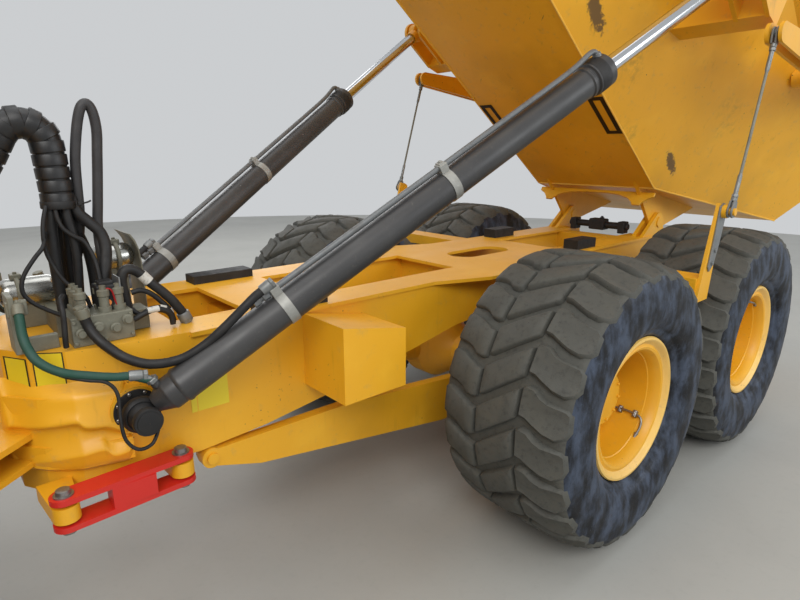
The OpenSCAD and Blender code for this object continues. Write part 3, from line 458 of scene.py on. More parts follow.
def cylinder_grey(name):
    """Satin grey cylinder paint, dusty, with fine marks along the barrel."""
    look = Finish(name, (0.205, 0.203, 0.205), 0.40, Coat_Weight=0.1, Coat_Roughness=0.35)
    look.tint(look.cut(look.mottle(0.4, 5), 0.40, 0.72, 0, 0.5), (0.30, 0.295, 0.29))
    look.tint(look.cut(look.mottle(0.015, 6, 0.7), 0.56, 0.8, 0, 0.35), (0.46, 0.43, 0.39))
    look.tint(look.cut(look.cells(0.11), 0.035, 0.02, 0, 0.55), (0.62, 0.60, 0.57))
    look.gloss(look.mottle(0.12, 5), 0.32, 0.56)
    look.relief(look.mottle(0.003, 2), 0.12, 0.0004)
    return look


def chrome_rod(name):
    """Chrome with a faint film of oil."""
    look = Finish(name, (0.80, 0.81, 0.82), 0.12, 1.0)
    look.tint(look.cut(look.mottle(0.3, 4), 0.45, 0.75, 0, 0.25), (0.62, 0.62, 0.62))
    look.gloss(look.mottle(0.02, 5, 0.7), 0.07, 0.22)
    look.relief(look.mottle(0.002, 2), 0.05, 0.0002)
    return look


def rough_metal(name, colour, metallic, low, high, grain=0.004, stain=(0.30, 0.27, 0.22), amount=0.35):
    """Bare or plated metal with stains and a fine grain."""
    look = Finish(name, colour, (low + high) / 2, metallic)
    look.tint(look.cut(look.mottle(0.08, 5), 0.48, 0.72, 0, amount), stain)
    look.tint(look.cut(look.mottle(0.012, 6, 0.7), 0.5, 0.8, 0, 0.4), tuple(min(1, c * 1.3) for c in colour))
    look.gloss(look.mottle(0.03, 5), low, high)
    look.relief(look.mottle(grain, 3), 0.25, 0.0008)
    return look


def rope_grey(name):
    """Drawn wire rope, dull, with its lay showing."""
    look = rough_metal(name, (0.50, 0.50, 0.46), 0.3, 0.45, 0.7)
    look.relief(look.mottle(0.006, 1, 0.4, look.stretched((1, 1, 0.4))), 0.5, 0.001)
    return look


def weld_highlight_paint(name):
    """Paint on the weld beads, brighter than the plates, as a painted highlight along the body's edges."""
    # The beads' colour is lighter than the plates' paint: a painted highlight along the edges
    look = painted(name, (0.95, 0.74, 0.27), 0.7)
    look.relief(look.mottle(0.006, 2), 0.5, 0.0015)
    return look


def soft_black(name, colour, dust, amount, grain=0.002, sheen=0.0):
    """Rubber or hose cover: dark, dusty and finely pebbled."""
    look = Finish(name, colour, 0.62, Sheen_Weight=sheen)
    look.tint(look.cut(look.mottle(0.12, 5), 0.42, 0.75, 0, amount), dust)
    look.tint(look.cut(look.mottle(0.01, 6, 0.75), 0.52, 0.8, 0, amount), dust)
    look.gloss(look.mottle(0.04, 5), 0.42, 0.8)
    look.relief(look.mottle(grain, 2), 0.3, 0.0006)
    return look


def tyre_rubber(name):
    """Sidewall rubber: blue-black with pale bloom in streaks round the wheel and specks of pale dust."""
    look = Finish(name, (0.055, 0.060, 0.078), 0.48, Specular_IOR_Level=0.3)
    streaks = look.mottle(0.09, 6, 0.62, look.stretched((1, 1, 2.2)))
    look.tint(look.cut(streaks, 0.38, 0.66, 0, 0.85), (0.275, 0.315, 0.385))
    look.tint(look.cut(look.mottle(0.035, 6, 0.65), 0.52, 0.70, 0, 0.45), (0.045, 0.049, 0.062))
    look.tint(look.cut(look.mottle(0.013, 8, 0.75), 0.56, 0.72, 0, 0.45), (0.36, 0.40, 0.46))
    look.gloss(look.mottle(0.09, 5), 0.36, 0.7)
    look.relief(look.mottle(0.03, 5), 0.3, 0.002)
    look.relief(look.mottle(0.0025, 2), 0.3, 0.0005)
    return look


def tread_rubber(name):
    """Tread worn matt grey-brown, with cuts and dust ground in."""
    look = Finish(name, (0.30, 0.30, 0.28), 0.78)
    look.tint(look.cut(look.mottle(0.16, 6, 0.6), 0.42, 0.7, 0, 0.6), (0.33, 0.325, 0.295))
    look.tint(look.cut(look.mottle(0.03, 8, 0.7), 0.5, 0.72, 0, 0.5), (0.155, 0.155, 0.15))
    look.tint(look.cut(look.mottle(0.006, 6, 0.7), 0.6, 0.75, 0, 0.5), (0.36, 0.35, 0.32))
    nicks = look.mottle(0.008, 3, 0.6, look.stretched((5, 1, 1), (0.7, 0.3, 1.1)))
    look.tint(look.cut(nicks, 0.68, 0.74, 0, 0.7), (0.09, 0.09, 0.09))
    look.gloss(look.mottle(0.06, 5), 0.62, 0.9)
    look.relief(look.mottle(0.02, 5, 0.7), 0.5, 0.002)
    look.relief(nicks, 0.3, 0.001)
    return look


def seat_fabric(name):
    """Dark woven fabric."""
    look = soft_black(name, (0.13, 0.13, 0.145), (0.22, 0.22, 0.23), 0.3, 0.003, 0.35)
    look.relief(look.cells(0.004), 0.4, 0.0008)
    return look


def cab_glass(name):
    """Greenish glass with a light film of dust."""
    look = Finish(name, (0.62, 0.70, 0.68), 0.04, Transmission_Weight=0.92, IOR=1.45)
    look.tint(look.cut(look.mottle(0.25, 5), 0.5, 0.8, 0, 0.25), (0.55, 0.58, 0.55))
    look.gloss(look.mottle(0.1, 6, 0.7), 0.02, 0.12)
    return look


def lamp(name, colour):
    """A moulded lens with ribs across it."""
    look = Finish(name, colour, 0.1, Coat_Weight=0.6, Coat_Roughness=0.05)
    look.tint(look.cut(look.mottle(0.02, 4), 0.45, 0.75, 0, 0.4), tuple(c * 0.6 for c in colour))
    ribs = look.node("ShaderNodeTexWave")
    ribs.inputs["Scale"].default_value = 25
    look.tree.links.new(look.where, ribs.inputs["Vector"])
    look.gloss(look.mottle(0.03, 4), 0.06, 0.18)
    look.relief(ribs.outputs["Fac"], 0.4, 0.002)
    return look


def conduit_black(name):
    """Smooth plastic rings, satin black with pale rubbed patches."""
    look = soft_black(name, (0.085, 0.085, 0.09), (0.19, 0.19, 0.19), 0.35)
    look.gloss(look.mottle(0.05, 5), 0.30, 0.55)
    return look


def polished_steel(name):
    """Bright drawn steel with streaks along it."""
    look = Finish(name, (0.72, 0.72, 0.70), 0.22, 0.95)
    streaks = look.mottle(0.012, 5, 0.6, look.stretched((9, 1, 1)))
    look.tint(look.cut(streaks, 0.45, 0.7, 0, 0.6), (0.50, 0.50, 0.48))
    look.tint(look.cut(look.mottle(0.06, 5), 0.5, 0.75, 0, 0.35), (0.40, 0.38, 0.34))
    look.gloss(streaks, 0.14, 0.38)
    look.relief(streaks, 0.08, 0.0004)
    return look


def white_label(name):
    """Soiled white paper."""
    look = Finish(name, (0.78, 0.77, 0.74), 0.5)
    look.tint(look.cut(look.mottle(0.01, 4), 0.5, 0.7, 0, 0.5), (0.45, 0.44, 0.40))
    look.relief(look.mottle(0.003, 2), 0.2, 0.0004)
    return look


def studio_floor(name):
    """Pale worn concrete in the colour that the user sets."""
    look = Finish(name, bpy.context.scene.truck_finishes.floor, 0.55)
    look.tint(look.cut(look.mottle(1.4, 5), 0.42, 0.72, 0, 0.4), (0.60, 0.60, 0.585))
    look.tint(look.cut(look.mottle(0.05, 6, 0.7), 0.5, 0.75, 0, 0.15), (0.54, 0.54, 0.52))
    look.gloss(look.mottle(0.8, 5), 0.4, 0.65)
    look.relief(look.mottle(0.01, 4), 0.1, 0.0008)
    return look


# How each finish is made: its function and what it takes after the name
RECIPES = {
    "machine_paint": (user_paint,),
    "rim_paint": (user_paint, 1.02, 0.9),
    # The rim's outer lip, where the paint is rubbed pale
    "rim_lip_paint": (painted, (0.95, 0.77, 0.40), 1.4),
    "body_paint": (body_paint,),
    # Weld beads in a lighter paint: a painted highlight along the body's edges
    "weld_highlight_paint": (weld_highlight_paint,),
    "link_red": (link_paint,),
    "frame_grey": (painted, (0.24, 0.245, 0.25), 0.8),
    "blank_label": (painted, (0.90, 0.80, 0.16), 0.5),
    "white_label": (white_label,),
    "cylinder_grey": (cylinder_grey,),
    "chrome_rod": (chrome_rod,),
    "valve_grey": (rough_metal, (0.47, 0.465, 0.41), 0.25, 0.42, 0.66),
    "galvanised": (rough_metal, (0.52, 0.53, 0.53), 0.6, 0.36, 0.58, 0.006, (0.38, 0.38, 0.36), 0.4),
    "pipe_grey": (rough_metal, (0.43, 0.44, 0.445), 0.4, 0.38, 0.6),
    "clamp_grey": (rough_metal, (0.60, 0.60, 0.58), 0.35, 0.35, 0.6),
    "machine_steel": (rough_metal, (0.56, 0.55, 0.54), 0.85, 0.28, 0.52),
    # Wear strips rubbed to brown-black steel
    "worn_steel": (rough_metal, (0.16, 0.12, 0.09), 0.5, 0.35, 0.65, 0.01, (0.28, 0.19, 0.10), 0.5),
    "polished_steel": (polished_steel,),
    "rope_grey": (rope_grey,),
    "black_rubber": (soft_black, (0.07, 0.07, 0.075), (0.22, 0.21, 0.20), 0.35),
    "gland_black": (soft_black, (0.09, 0.088, 0.09), (0.2, 0.19, 0.18), 0.3),
    "green_hose": (soft_black, (0.09, 0.27, 0.22), (0.24, 0.33, 0.32), 0.45),
    "grey_hose": (soft_black, (0.19, 0.185, 0.19), (0.29, 0.285, 0.285), 0.45),
    "wire_red": (soft_black, (0.62, 0.08, 0.07), (0.5, 0.2, 0.18), 0.3),
    "tag_orange": (soft_black, (0.86, 0.50, 0.22), (0.8, 0.6, 0.4), 0.3),
    "trim_plastic": (soft_black, (0.085, 0.085, 0.09), (0.20, 0.195, 0.185), 0.25, 0.0015),
    "conduit_black": (conduit_black,),
    "seat_fabric": (seat_fabric,),
    "tyre_rubber": (tyre_rubber,),
    "tread_rubber": (tread_rubber,),
    "cab_glass": (cab_glass,),
    "lamp_clear": (lamp, (0.78, 0.80, 0.80)),
    "lamp_red": (lamp, (0.55, 0.05, 0.04)),
    "studio_floor": (studio_floor,),
}
FINISHES = {}


def finish(name):
    """The finish of that name, made the first time it is asked for."""
    if name not in FINISHES:
        maker, *settings = RECIPES[name]
        FINISHES[name] = maker(name, *settings).material
    return FINISHES[name]


# Sizes and colours that a user would change


class TruckSizes(bpy.types.PropertyGroup):
    tread_depth: bpy.props.FloatProperty(name="Tread depth", description="Height of the tread's blocks",
                                         default=0.034, min=0.01, max=0.06, subtype="DISTANCE", unit="LENGTH")
    tread_rows: bpy.props.IntProperty(name="Tread rows", description="Rows of blocks round a tyre", default=24,
                                      min=12, max=40)


class TruckFinishes(bpy.types.PropertyGroup):
    paint: bpy.props.FloatVectorProperty(name="Paint", description="Main machine paint", size=3, subtype="COLOR",
                                         default=(0.91, 0.665, 0.115), min=0, max=1)
    link: bpy.props.FloatVectorProperty(name="Link red", description="Paint of the steering lock link", size=3,
                                        subtype="COLOR", default=(0.80, 0.15, 0.11), min=0, max=1)
    floor: bpy.props.FloatVectorProperty(name="Floor", description="Studio floor", size=3, subtype="COLOR",
                                         default=(0.66, 0.66, 0.64), min=0, max=1)


# Wheels

# The tyre's half section: place across from its middle and radius, from the crown to the bead
TYRE_SECTION = ((0.0, 0.775), (0.10, 0.775), (0.182, 0.773), (0.25, 0.769), (0.304, 0.761), (0.335, 0.747),
                (0.355, 0.727), (0.367, 0.695), (0.373, 0.65), (0.378, 0.60), (0.380, 0.558), (0.377, 0.515),
                (0.370, 0.48), (0.361, 0.455), (0.350, 0.440), (0.341, 0.436), (0.338, 0.425), (0.325, 0.405),
                (0.303, 0.392), (0.290, 0.382), (0.288, 0.330), (0.25, 0.320))
GROOVE_EDGE = (0.30, 0.374)
SHOULDER_LOW = 0.69
# Outlines of the blocks: place across and round, at the crown
SHOULDER_BLOCK = ((0.128, 0.030), (0.126, 0.160), (0.150, 0.172), (0.188, 0.166), (0.222, 0.140), (0.262, 0.126),
                  (0.345, 0.118), (0.362, 0.100), (0.366, 0.020), (0.356, -0.012), (0.318, -0.030), (0.262, -0.020),
                  (0.205, 0.004), (0.165, 0.024))
CENTRE_BLOCK = ((-0.108, -0.142), (-0.112, -0.012), (-0.098, 0.002), (0.094, 0.138), (0.108, 0.142), (0.112, 0.012),
                (0.098, -0.002), (-0.094, -0.138))

# Where a block is cut, so that it can follow the tyre's curves
CUTS_ACROSS, CUTS_ROUND = (-0.06, 0.0, 0.06, 0.19, 0.25, 0.30, 0.335), (-0.07, 0.05)
WHEEL_Y = 1.158


def section_radius(across):
    """The tyre's outer radius at a place across it, over the blocks."""
    across = abs(across)
    for (a0, r0), (a1, r1) in zip(TYRE_SECTION, TYRE_SECTION[1:]):
        if across <= a1:
            return r0 + (r1 - r0) * (across - a0) / (a1 - a0)
    return TYRE_SECTION[10][1]


def groove(across, depth):
    """How far the carcass lies below the blocks."""
    low, high = GROOVE_EDGE
    t = min(1.0, max(0.0, (high - abs(across)) / (high - low)))
    return depth * (0.25 + 0.75 * t) if t > 0 else 0.0


def tread_block(outline, depth):
    """One block, cut out flat with sloping sides and then laid round the crown."""
    block = slab([(x, y, 0) for x, y in outline], (0, 0, 1))
    edit_faces(block, lambda c, n: c.z > 0.99, inset(0.007))
    # The inset's outer ring stays lower, so that the top edge is rounded and the sides slope
    top = [v for v in block.data.vertices if v.co.z > 0.99]
    rim = set()
    for poly in block.data.polygons:
        if abs(poly.normal.z) < 0.5:
            rim.update(poly.vertices)
    for v in top:
        if v.index in rim:
            v.co.z = 0.80
    for cut in CUTS_ACROSS:
        edit_all(block, lambda: bpy.ops.mesh.bisect(plane_co=(cut, 0, 0), plane_no=(1, 0, 0)))
    for cut in CUTS_ROUND:
        edit_all(block, lambda: bpy.ops.mesh.bisect(plane_co=(0, cut, 0), plane_no=(0, 1, 0)))
    for v in block.data.vertices:
        across, round_, up = v.co
        flare = (1 - up) * 0.10
        r = section_radius(across)
        low = r - groove(across, depth) - 0.004
        radius = low + (r - low) * up
        mid = sum(p[1] for p in outline) / len(outline)
        angle = (round_ + (round_ - mid) * flare) / TYRE_SECTION[0][1]
        v.co = (radius * math.cos(angle), across, radius * math.sin(angle))
    return block


def bare_tyre(depth, rows):
    """A tyre on the Y axis round the origin: its carcass and its rows of blocks."""
    half = [(a, r - groove(a, depth) if r > SHOULDER_LOW else r) for a, r in TYRE_SECTION]
    dense = []
    for (a0, r0), (a1, r1) in zip(half, half[1:]):
        dense.append((a0, r0))
        if abs(a1 - a0) + abs(r1 - r0) > 0.035:
            dense.append(((a0 + a1) / 2, (r0 + r1) / 2))
    dense.append(half[-1])
    profile = [(-a, r) for a, r in reversed(dense)] + list(dense[1:])
    carcass = lathe(profile + [profile[0]], (0, 0, 0), (0, 1, 0), 96)
    blocks = []
    near = tread_block(SHOULDER_BLOCK, depth)
    far = tread_block([(-x, -y) for x, y in SHOULDER_BLOCK], depth)
    centre = tread_block(CENTRE_BLOCK, depth)
    pitch = math.tau / rows
    for start in (near, far, centre):
        for i in range(rows):
            blocks.append(copied(start, Matrix.Rotation(pitch * i, 4, "Y")))
        bpy.data.objects.remove(start)
    tread = smooth(joined("tread", blocks), 50)
    smooth(carcass, 60)
    return carcass, tread


class TRUCK_OT_tyres(bpy.types.Operator):
    """Six earthmover tyres with worn blocks, each on its own wheel"""
    bl_idname = "truck.tyres"
    bl_label = "Tyres"
    bl_options = {"REGISTER", "UNDO"}

    def execute(self, context):
        sizes = context.scene.truck_sizes
        carcass, tread = bare_tyre(sizes.tread_depth, sizes.tread_rows)
        carcass.data.materials.append(finish("tyre_rubber"))
        tread.data.materials.append(finish("tread_rubber"))
        for poly in carcass.data.polygons:
            across = abs(poly.center.y)
            poly.material_index = 1 if across < 0.345 and poly.center.xz.length > 0.70 else 0
        carcass.data.materials.append(finish("tread_rubber"))
        whole = joined("tyre", [carcass, tread])
        for row, x in WHEELS:
            for side, sign in SIDES:
                spot = Matrix.Translation(place(x, sign * WHEEL_Y, 0)) @ Matrix.Rotation(0.11 * (x + sign), 4, "Y")
                if sign > 0:
                    spot = spot @ Matrix.Rotation(math.pi, 4, "Z")
                tyre = copied(whole, spot)
                tyre.name = f"tyre_dressed_{row}_{side}"
                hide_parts(f"tyre_{row}_{side}")
                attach(tyre, f"wheel_{row}_{side}")
        bpy.data.objects.remove(whole)
        return {"FINISHED"}


RIM_OUT = ((0.300, 0.384), (0.312, 0.391), (0.322, 0.386), (0.324, 0.374), (0.316, 0.362), (0.306, 0.356),
           (0.298, 0.346), (0.300, 0.338), (0.304, 0.330), (0.300, 0.318), (0.286, 0.308), (0.262, 0.299),
           (0.240, 0.296), (0.236, 0.291), (0.16, 0.288), (0.08, 0.285))
RIM_DISC = ((0.053, 0.280), (0.047, 0.268), (0.047, 0.238), (0.059, 0.232), (0.059, 0.196), (0.047, 0.190),
            (0.047, 0.176), (0.105, 0.168), (0.135, 0.160), (0.150, 0.145), (0.156, 0.05), (0.156, 0.0005))
RIM_IN = ((-0.06, 0.290), (-0.24, 0.292), (-0.262, 0.299), (-0.290, 0.312), (-0.304, 0.332), (-0.310, 0.350),
          (-0.320, 0.372), (-0.320, 0.388), (-0.306, 0.390), (-0.300, 0.384))
RIM_SEAT = ((-0.290, 0.360), (-0.286, 0.326), (-0.22, 0.318), (0.0, 0.312), (0.22, 0.318), (0.286, 0.326),
            (0.290, 0.360))


def bare_rim():
    """A deep-dish rim facing +Y round the origin, with its nuts."""
    back = [(-0.045, 0.26), (-0.05, 0.15), (-0.05, 0.115)]
    outer = list(RIM_SEAT) + list(RIM_OUT) + list(RIM_DISC)
    shell = lathe(outer, (0, 0, 0), (0, 1, 0), 96)
    rear = lathe(list(back[::-1]) + list(RIM_IN) + [RIM_SEAT[0]], (0, 0, 0), (0, 1, 0), 96)
    parts = [smooth(shell, 32), smooth(rear, 32)]
    for head in bolts((0, 0.045, 0), (0, 1, 0), 0.253, 24, 0.0145, 0.026):
        parts.append(bevelled(head, 0.002, 1))
    for head in bolts((0, 0.059, 0), (0, 1, 0), 0.214, 24, 0.010, 0.016, turn=0.13):
        parts.append(bevelled(head, 0.0015, 1))
    for head in bolts((0, 0.149, 0), (0, 1, 0), 0.128, 10, 0.009, 0.013):
        parts.append(bevelled(head, 0.0015, 1))
    return parts


def valve_gear():
    """The wheel's valve: its stem and cap, and the two clips that hold it on the dish's wall."""
    parts = []
    for along in (0.125, 0.212):
        clip = box((0.262, along - 0.011, -0.020), (0.288, along + 0.011, 0.020))
        edit_faces(clip, lambda c, n: n.x < -0.9, inset(0.005), extrude((-0.008, 0, 0)))
        parts.append(bevelled(clip, 0.003, 2))
    stem = tube([(0.258, 0.06, 0), (0.262, 0.09, 0.001), (0.266, 0.12, 0), (0.266, 0.16, -0.004), (0.268, 0.21, 0),
                 (0.272, 0.245, 0.004), (0.278, 0.262, 0.03), (0.280, 0.262, 0.075), (0.278, 0.255, 0.10)],
                0.0065, 12)
    cap = bar((0.278, 0.255, 0.095), (0.277, 0.250, 0.128), 0.011, 0.009, 12)
    return parts + [stem, bevelled(cap, 0.002, 1)]


class TRUCK_OT_rims(bpy.types.Operator):
    """Six deep-dish rims with stepped flanges, nuts and valves"""
    bl_idname = "truck.rims"
    bl_label = "Rims"
    bl_options = {"REGISTER", "UNDO"}

    def execute(self, context):
        rim = joined("rim", bare_rim())
        rim.data.materials.append(finish("rim_paint"))
        rim.data.materials.append(finish("rim_lip_paint"))
        for poly in rim.data.polygons:
            poly.material_index = 1 if poly.center.y > 0.297 and poly.center.xz.length > 0.350 else 0
        gear = joined("valve", valve_gear())
        gear.data.materials.append(finish("machine_steel"))
        for row, x in WHEELS:
            for side, sign in SIDES:
                turn = Matrix.Identity(4) if sign > 0 else Matrix.Rotation(math.pi, 4, "Z")
                spot = Matrix.Translation(place(x, sign * WHEEL_Y, 0)) @ turn
                wheel = f"wheel_{row}_{side}"
                dressed = copied(rim, spot)
                dressed.name = f"rim_dressed_{row}_{side}"
                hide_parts(f"rim_{row}_{side}")
                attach(dressed, wheel)
                valve = copied(gear, spot @ Matrix.Rotation(2.6 + x, 4, "Y"))
                valve.name = f"valve_{row}_{side}"
                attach(valve, wheel)
        bpy.data.objects.remove(rim)
        bpy.data.objects.remove(gear)
        return {"FINISHED"}


# Hoist

HOIST_BASE = Vector((-2.137, 0.55, 0.327))
HOIST_EYE_LOW = Vector((0.332, 1.346, 1.292))
GLAND_RUN = 2.642
ROD_RUN = 2.560
BARREL_R = 0.0725


def hoist_line(sign):
    """The base pin, the rod's eye and the way between them, for one side."""
    base = place(HOIST_BASE.x, sign * HOIST_BASE.y, HOIST_BASE.z)
    eye = raised(HOIST_EYE_LOW.x, sign * HOIST_EYE_LOW.y, HOIST_EYE_LOW.z)
    return base, eye, (eye - base).normalized()


def beside(way, sign):
    """Directions across a hoist cylinder: its upper side and its outer side."""
    out = Vector((0, sign, 0))
    out = (out - way * out.dot(way)).normalized()
    return way.cross(out).normalized() * sign, out


def hoist_barrel(sign):
    """The barrel with its stepped base, its gland and its port."""
    base, eye, way = hoist_line(sign)
    over, out = beside(way, sign)
    barrel = lathe([(0.112, 0.0), (0.112, 0.060), (0.120, 0.0675), (0.126, 0.0685), (0.168, 0.0685), (0.176, 0.0745),
                    (0.186, 0.0755), (0.196, BARREL_R), (2.486, BARREL_R), (2.492, 0.0785), (2.506, 0.0785),
                    (2.512, 0.074), (2.522, 0.074), (2.527, 0.0835), (2.534, 0.085), (2.634, 0.085),
                    (GLAND_RUN, 0.078), (GLAND_RUN, 0.052), (GLAND_RUN + 0.006, 0.048), (GLAND_RUN + 0.006, 0.043),
                    (GLAND_RUN - 0.03, 0.043)], base, way, 56)
    neck = bar(base + way * 0.062, base + way * 0.122, 0.036, 0.066, 48)
    port = bar(base + way * 0.115 + over * 0.060, base + way * 0.115 + over * 0.088, 0.019, 0.017, 24)
    return [smooth(p, 35) for p in (barrel, neck, port)]


def hoist_rings(sign):
    """The black eye round the base ball and the dark collar at the gland."""
    base, eye, way = hoist_line(sign)
    ring = lathe([(-0.024, 0.0575), (-0.024, 0.061), (-0.016, 0.069), (-0.008, 0.072), (0.008, 0.072),
                  (0.016, 0.069), (0.024, 0.061), (0.024, 0.0575), (0.012, 0.0612), (0.0, 0.0628), (-0.012, 0.0612),
                  (-0.024, 0.0575)], base, (0, 1, 0), 48)
    collar = lathe([(2.536, 0.083), (2.536, 0.0858), (2.540, 0.0868), (2.596, 0.0868), (2.600, 0.0858),
                    (2.600, 0.083)], base, way, 48)
    return [smooth(ring, 35), smooth(collar, 30)]


def hoist_clamps(sign):
    """Bands round the barrel that hold its pipe, and the pipe's own saddles."""
    base, eye, way = hoist_line(sign)
    over, out = beside(way, sign)
    parts = []
    for run in (0.685, 1.594):
        spot = base + way * run
        band = lathe([(-0.021, BARREL_R - 0.002), (-0.021, BARREL_R + 0.0035), (0.021, BARREL_R + 0.0035),
                      (0.021, BARREL_R - 0.002)], spot, way, 48)
        saddle = box((-0.021, -0.024, -0.014), (0.021, 0.024, 0.026))
        edit_faces(saddle, lambda c, n: n.z > 0.9, inset(0.006), extrude((0, 0, 0.008)))
        bevelled(saddle, 0.004, 2)
        turn = Matrix((way, out, over)).transposed().to_4x4()
        saddle.data.transform(Matrix.Translation(spot + over * (BARREL_R + 0.012)) @ turn)
        saddle.data.update()
        parts += [smooth(band, 30), set_faces_right(saddle)]
        parts += bolts(spot + over * (BARREL_R + 0.044), over, 0.0001, 1, 0.008, 0.008)
    return parts


def hoist_pipe(sign):
    """The steel pipe along the barrel, bent down into the gland."""
    base, eye, way = hoist_line(sign)
    over, out = beside(way, sign)
    up = BARREL_R + 0.024
    line = [(0.60, up - 0.002), (0.64, up), (0.70, up), (0.9, up), (1.3, up), (1.8, up), (2.3, up),
            (2.46, up + 0.002), (2.535, up + 0.014), (2.585, up + 0.022), (2.612, up + 0.008), (2.615, up - 0.02),
            (2.612, 0.08)]
    steel = tube([base + way * a + over * h for a, h in line], 0.0135, 16)
    nuts = []
    for a in (0.585, 0.628):
        nuts.append(bevelled(bar(base + way * a + over * up, base + way * (a + 0.030) + over * up, 0.0225, sides=6),
                             0.002, 1))
    collar = bar(base + way * 2.612 + over * 0.078, base + way * 2.612 + over * 0.100, 0.024, 0.019, 16)
    return [steel, bevelled(collar, 0.003, 2)] + nuts


def pin_flange(sign):
    """The bolted black flange and capped pin that carry a cylinder's base."""
    centre = place(HOIST_BASE.x, 0, HOIST_BASE.z)
    way = (0, sign, 0)
    flange = lathe([(0.4975, 0.034), (0.4975, 0.083), (0.499, 0.085), (0.5015, 0.085), (0.503, 0.083),
                    (0.503, 0.036)], centre, way, 48)
    cap = lathe([(0.40, 0.0358), (0.603, 0.0358), (0.604, 0.0435), (0.614, 0.0435), (0.6145, 0.0525), (0.616, 0.0535),
                 (0.642, 0.0535), (0.6455, 0.0515), (0.646, 0.0435), (0.649, 0.0425), (0.6505, 0.034),
                 (0.6505, 0.0005)], centre, way, 40)
    ball = lathe([(0.5045, 0.036), (0.5045, 0.0425), (0.518, 0.0525), (0.535, 0.0588), (0.55, 0.0607),
                  (0.565, 0.0588), (0.582, 0.0525), (0.5955, 0.0425), (0.5955, 0.036)], centre, way, 40)
    heads = bolts(centre + Vector((0, sign * 0.503, 0)), way, 0.0745, 8, 0.0085, 0.006, turn=0.3)
    return [smooth(flange, 30), smooth(cap, 30), smooth(ball, 40)], [bevelled(h, 0.002, 1) for h in heads]


class TRUCK_OT_hoists(bpy.types.Operator):
    """Hoist cylinders: barrels with clamps and pipes, chrome rods and base pins"""
    bl_idname = "truck.hoists"
    bl_label = "Hoist cylinders"
    bl_options = {"REGISTER", "UNDO"}

    def execute(self, context):
        for side, sign in SIDES:
            base, eye, way = hoist_line(sign)
            barrel_body, rod_body = f"hoist_barrel_{side}", f"hoist_rod_{side}"
            finished(f"hoist_barrel_dressed_{side}", hoist_barrel(sign), "cylinder_grey", barrel_body,
                     stands_for=barrel_body)
            finished(f"hoist_rings_{side}", hoist_rings(sign), "gland_black", barrel_body)
            finished(f"hoist_clamps_{side}", hoist_clamps(sign), "clamp_grey", barrel_body)
            finished(f"hoist_pipe_{side}", hoist_pipe(sign), "pipe_grey", barrel_body)
            rod_end = (eye - base).length - 0.062
            rod = lathe([(rod_end + 0.062 - ROD_RUN, 0.0), (rod_end + 0.062 - ROD_RUN, 0.0425),
                         (rod_end - 0.05, 0.0425), (rod_end - 0.045, 0.040), (rod_end, 0.040)], base, way, 48)
            head = lathe([(-0.036, 0.040), (-0.036, 0.068), (-0.030, 0.075), (0.030, 0.075), (0.036, 0.068),
                          (0.036, 0.040), (-0.036, 0.040)], eye, (0, 1, 0), 40)
            neck = bar(eye - way * 0.115, eye - way * 0.055, 0.0475, 0.052, 32)
            finished(f"hoist_rod_dressed_{side}", [smooth(rod, 30)], "chrome_rod", rod_body, stands_for=rod_body)
            finished(f"hoist_eye_{side}", [smooth(head, 30), smooth(neck, 30)], "machine_paint", rod_body)
            black, bright = pin_flange(sign)
            finished(f"hoist_flange_{side}", black, "gland_black", "rear_chassis")
            finished(f"hoist_pin_bolts_{side}", bright, "machine_steel", "rear_chassis")
        return {"FINISHED"}


# Hoses at the frame's head, as points from the middle of the front bogie axle

HOIST_HOSE = ((-2.250, -0.400, 0.700), (-2.243, -0.402, 0.671), (-2.229, -0.420, 0.634), (-2.205, -0.450, 0.597),
              (-2.155, -0.500, 0.548), (-2.080, -0.545, 0.516), (-1.980, -0.585, 0.522), (-1.892, -0.620, 0.570),
              (-1.818, -0.650, 0.635), (-1.752, -0.668, 0.695), (-1.700, -0.681, 0.742), (-1.672, -0.688, 0.762))
PORT_HOSE = ((-2.444, -0.345, 0.735), (-2.446, -0.362, 0.715), (-2.450, -0.400, 0.678), (-2.446, -0.432, 0.637),
             (-2.426, -0.470, 0.591), (-2.371, -0.505, 0.549), (-2.286, -0.530, 0.520), (-2.210, -0.548, 0.500),
             (-2.165, -0.556, 0.494))
GREASE_HOSE = ((-2.444, -0.352, 0.700), (-2.440, -0.400, 0.640), (-2.418, -0.452, 0.580), (-2.371, -0.500, 0.535),
               (-2.300, -0.535, 0.508), (-2.240, -0.555, 0.488), (-2.214, -0.575, 0.440), (-2.222, -0.600, 0.352),
               (-2.216, -0.612, 0.272), (-2.180, -0.620, 0.224), (-2.130, -0.618, 0.226), (-2.098, -0.600, 0.262),
               (-2.090, -0.588, 0.285))


def reach(points):
    """The length of the way through points."""
    return sum((b - a).length for a, b in zip(points, points[1:]))


def curved(points, steps=5):
    """Points of a smooth curve through the given ones."""
    points = [Vector(p) for p in points]
    ends = [2 * points[0] - points[1]] + points + [2 * points[-1] - points[-2]]
    made = [points[0]]
    for p0, p1, p2, p3 in zip(ends, ends[1:], ends[2:], ends[3:]):
        for i in range(1, steps + 1):
            t = i / steps
            made.append(0.5 * (2 * p1 + (p2 - p0) * t + (2 * p0 - 5 * p1 + 4 * p2 - p3) * t * t
                               + (3 * p1 - p0 - 3 * p2 + p3) * t ** 3))
    return made


def hose(name, points, radius, look, far_body=None, sides=12):
    """A hose on the frame's head. If far_body is given, the hose rides on no body and its place is baked into its
    mesh.
    """
    line = curved([place(*p) for p in points])
    piece = joined(name, [tube(line, radius, sides, kind="POLY")])
    piece.data.materials.append(finish(look))
    if far_body:
        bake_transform(piece)
    else:
        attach(piece, "rear_chassis")
    return piece


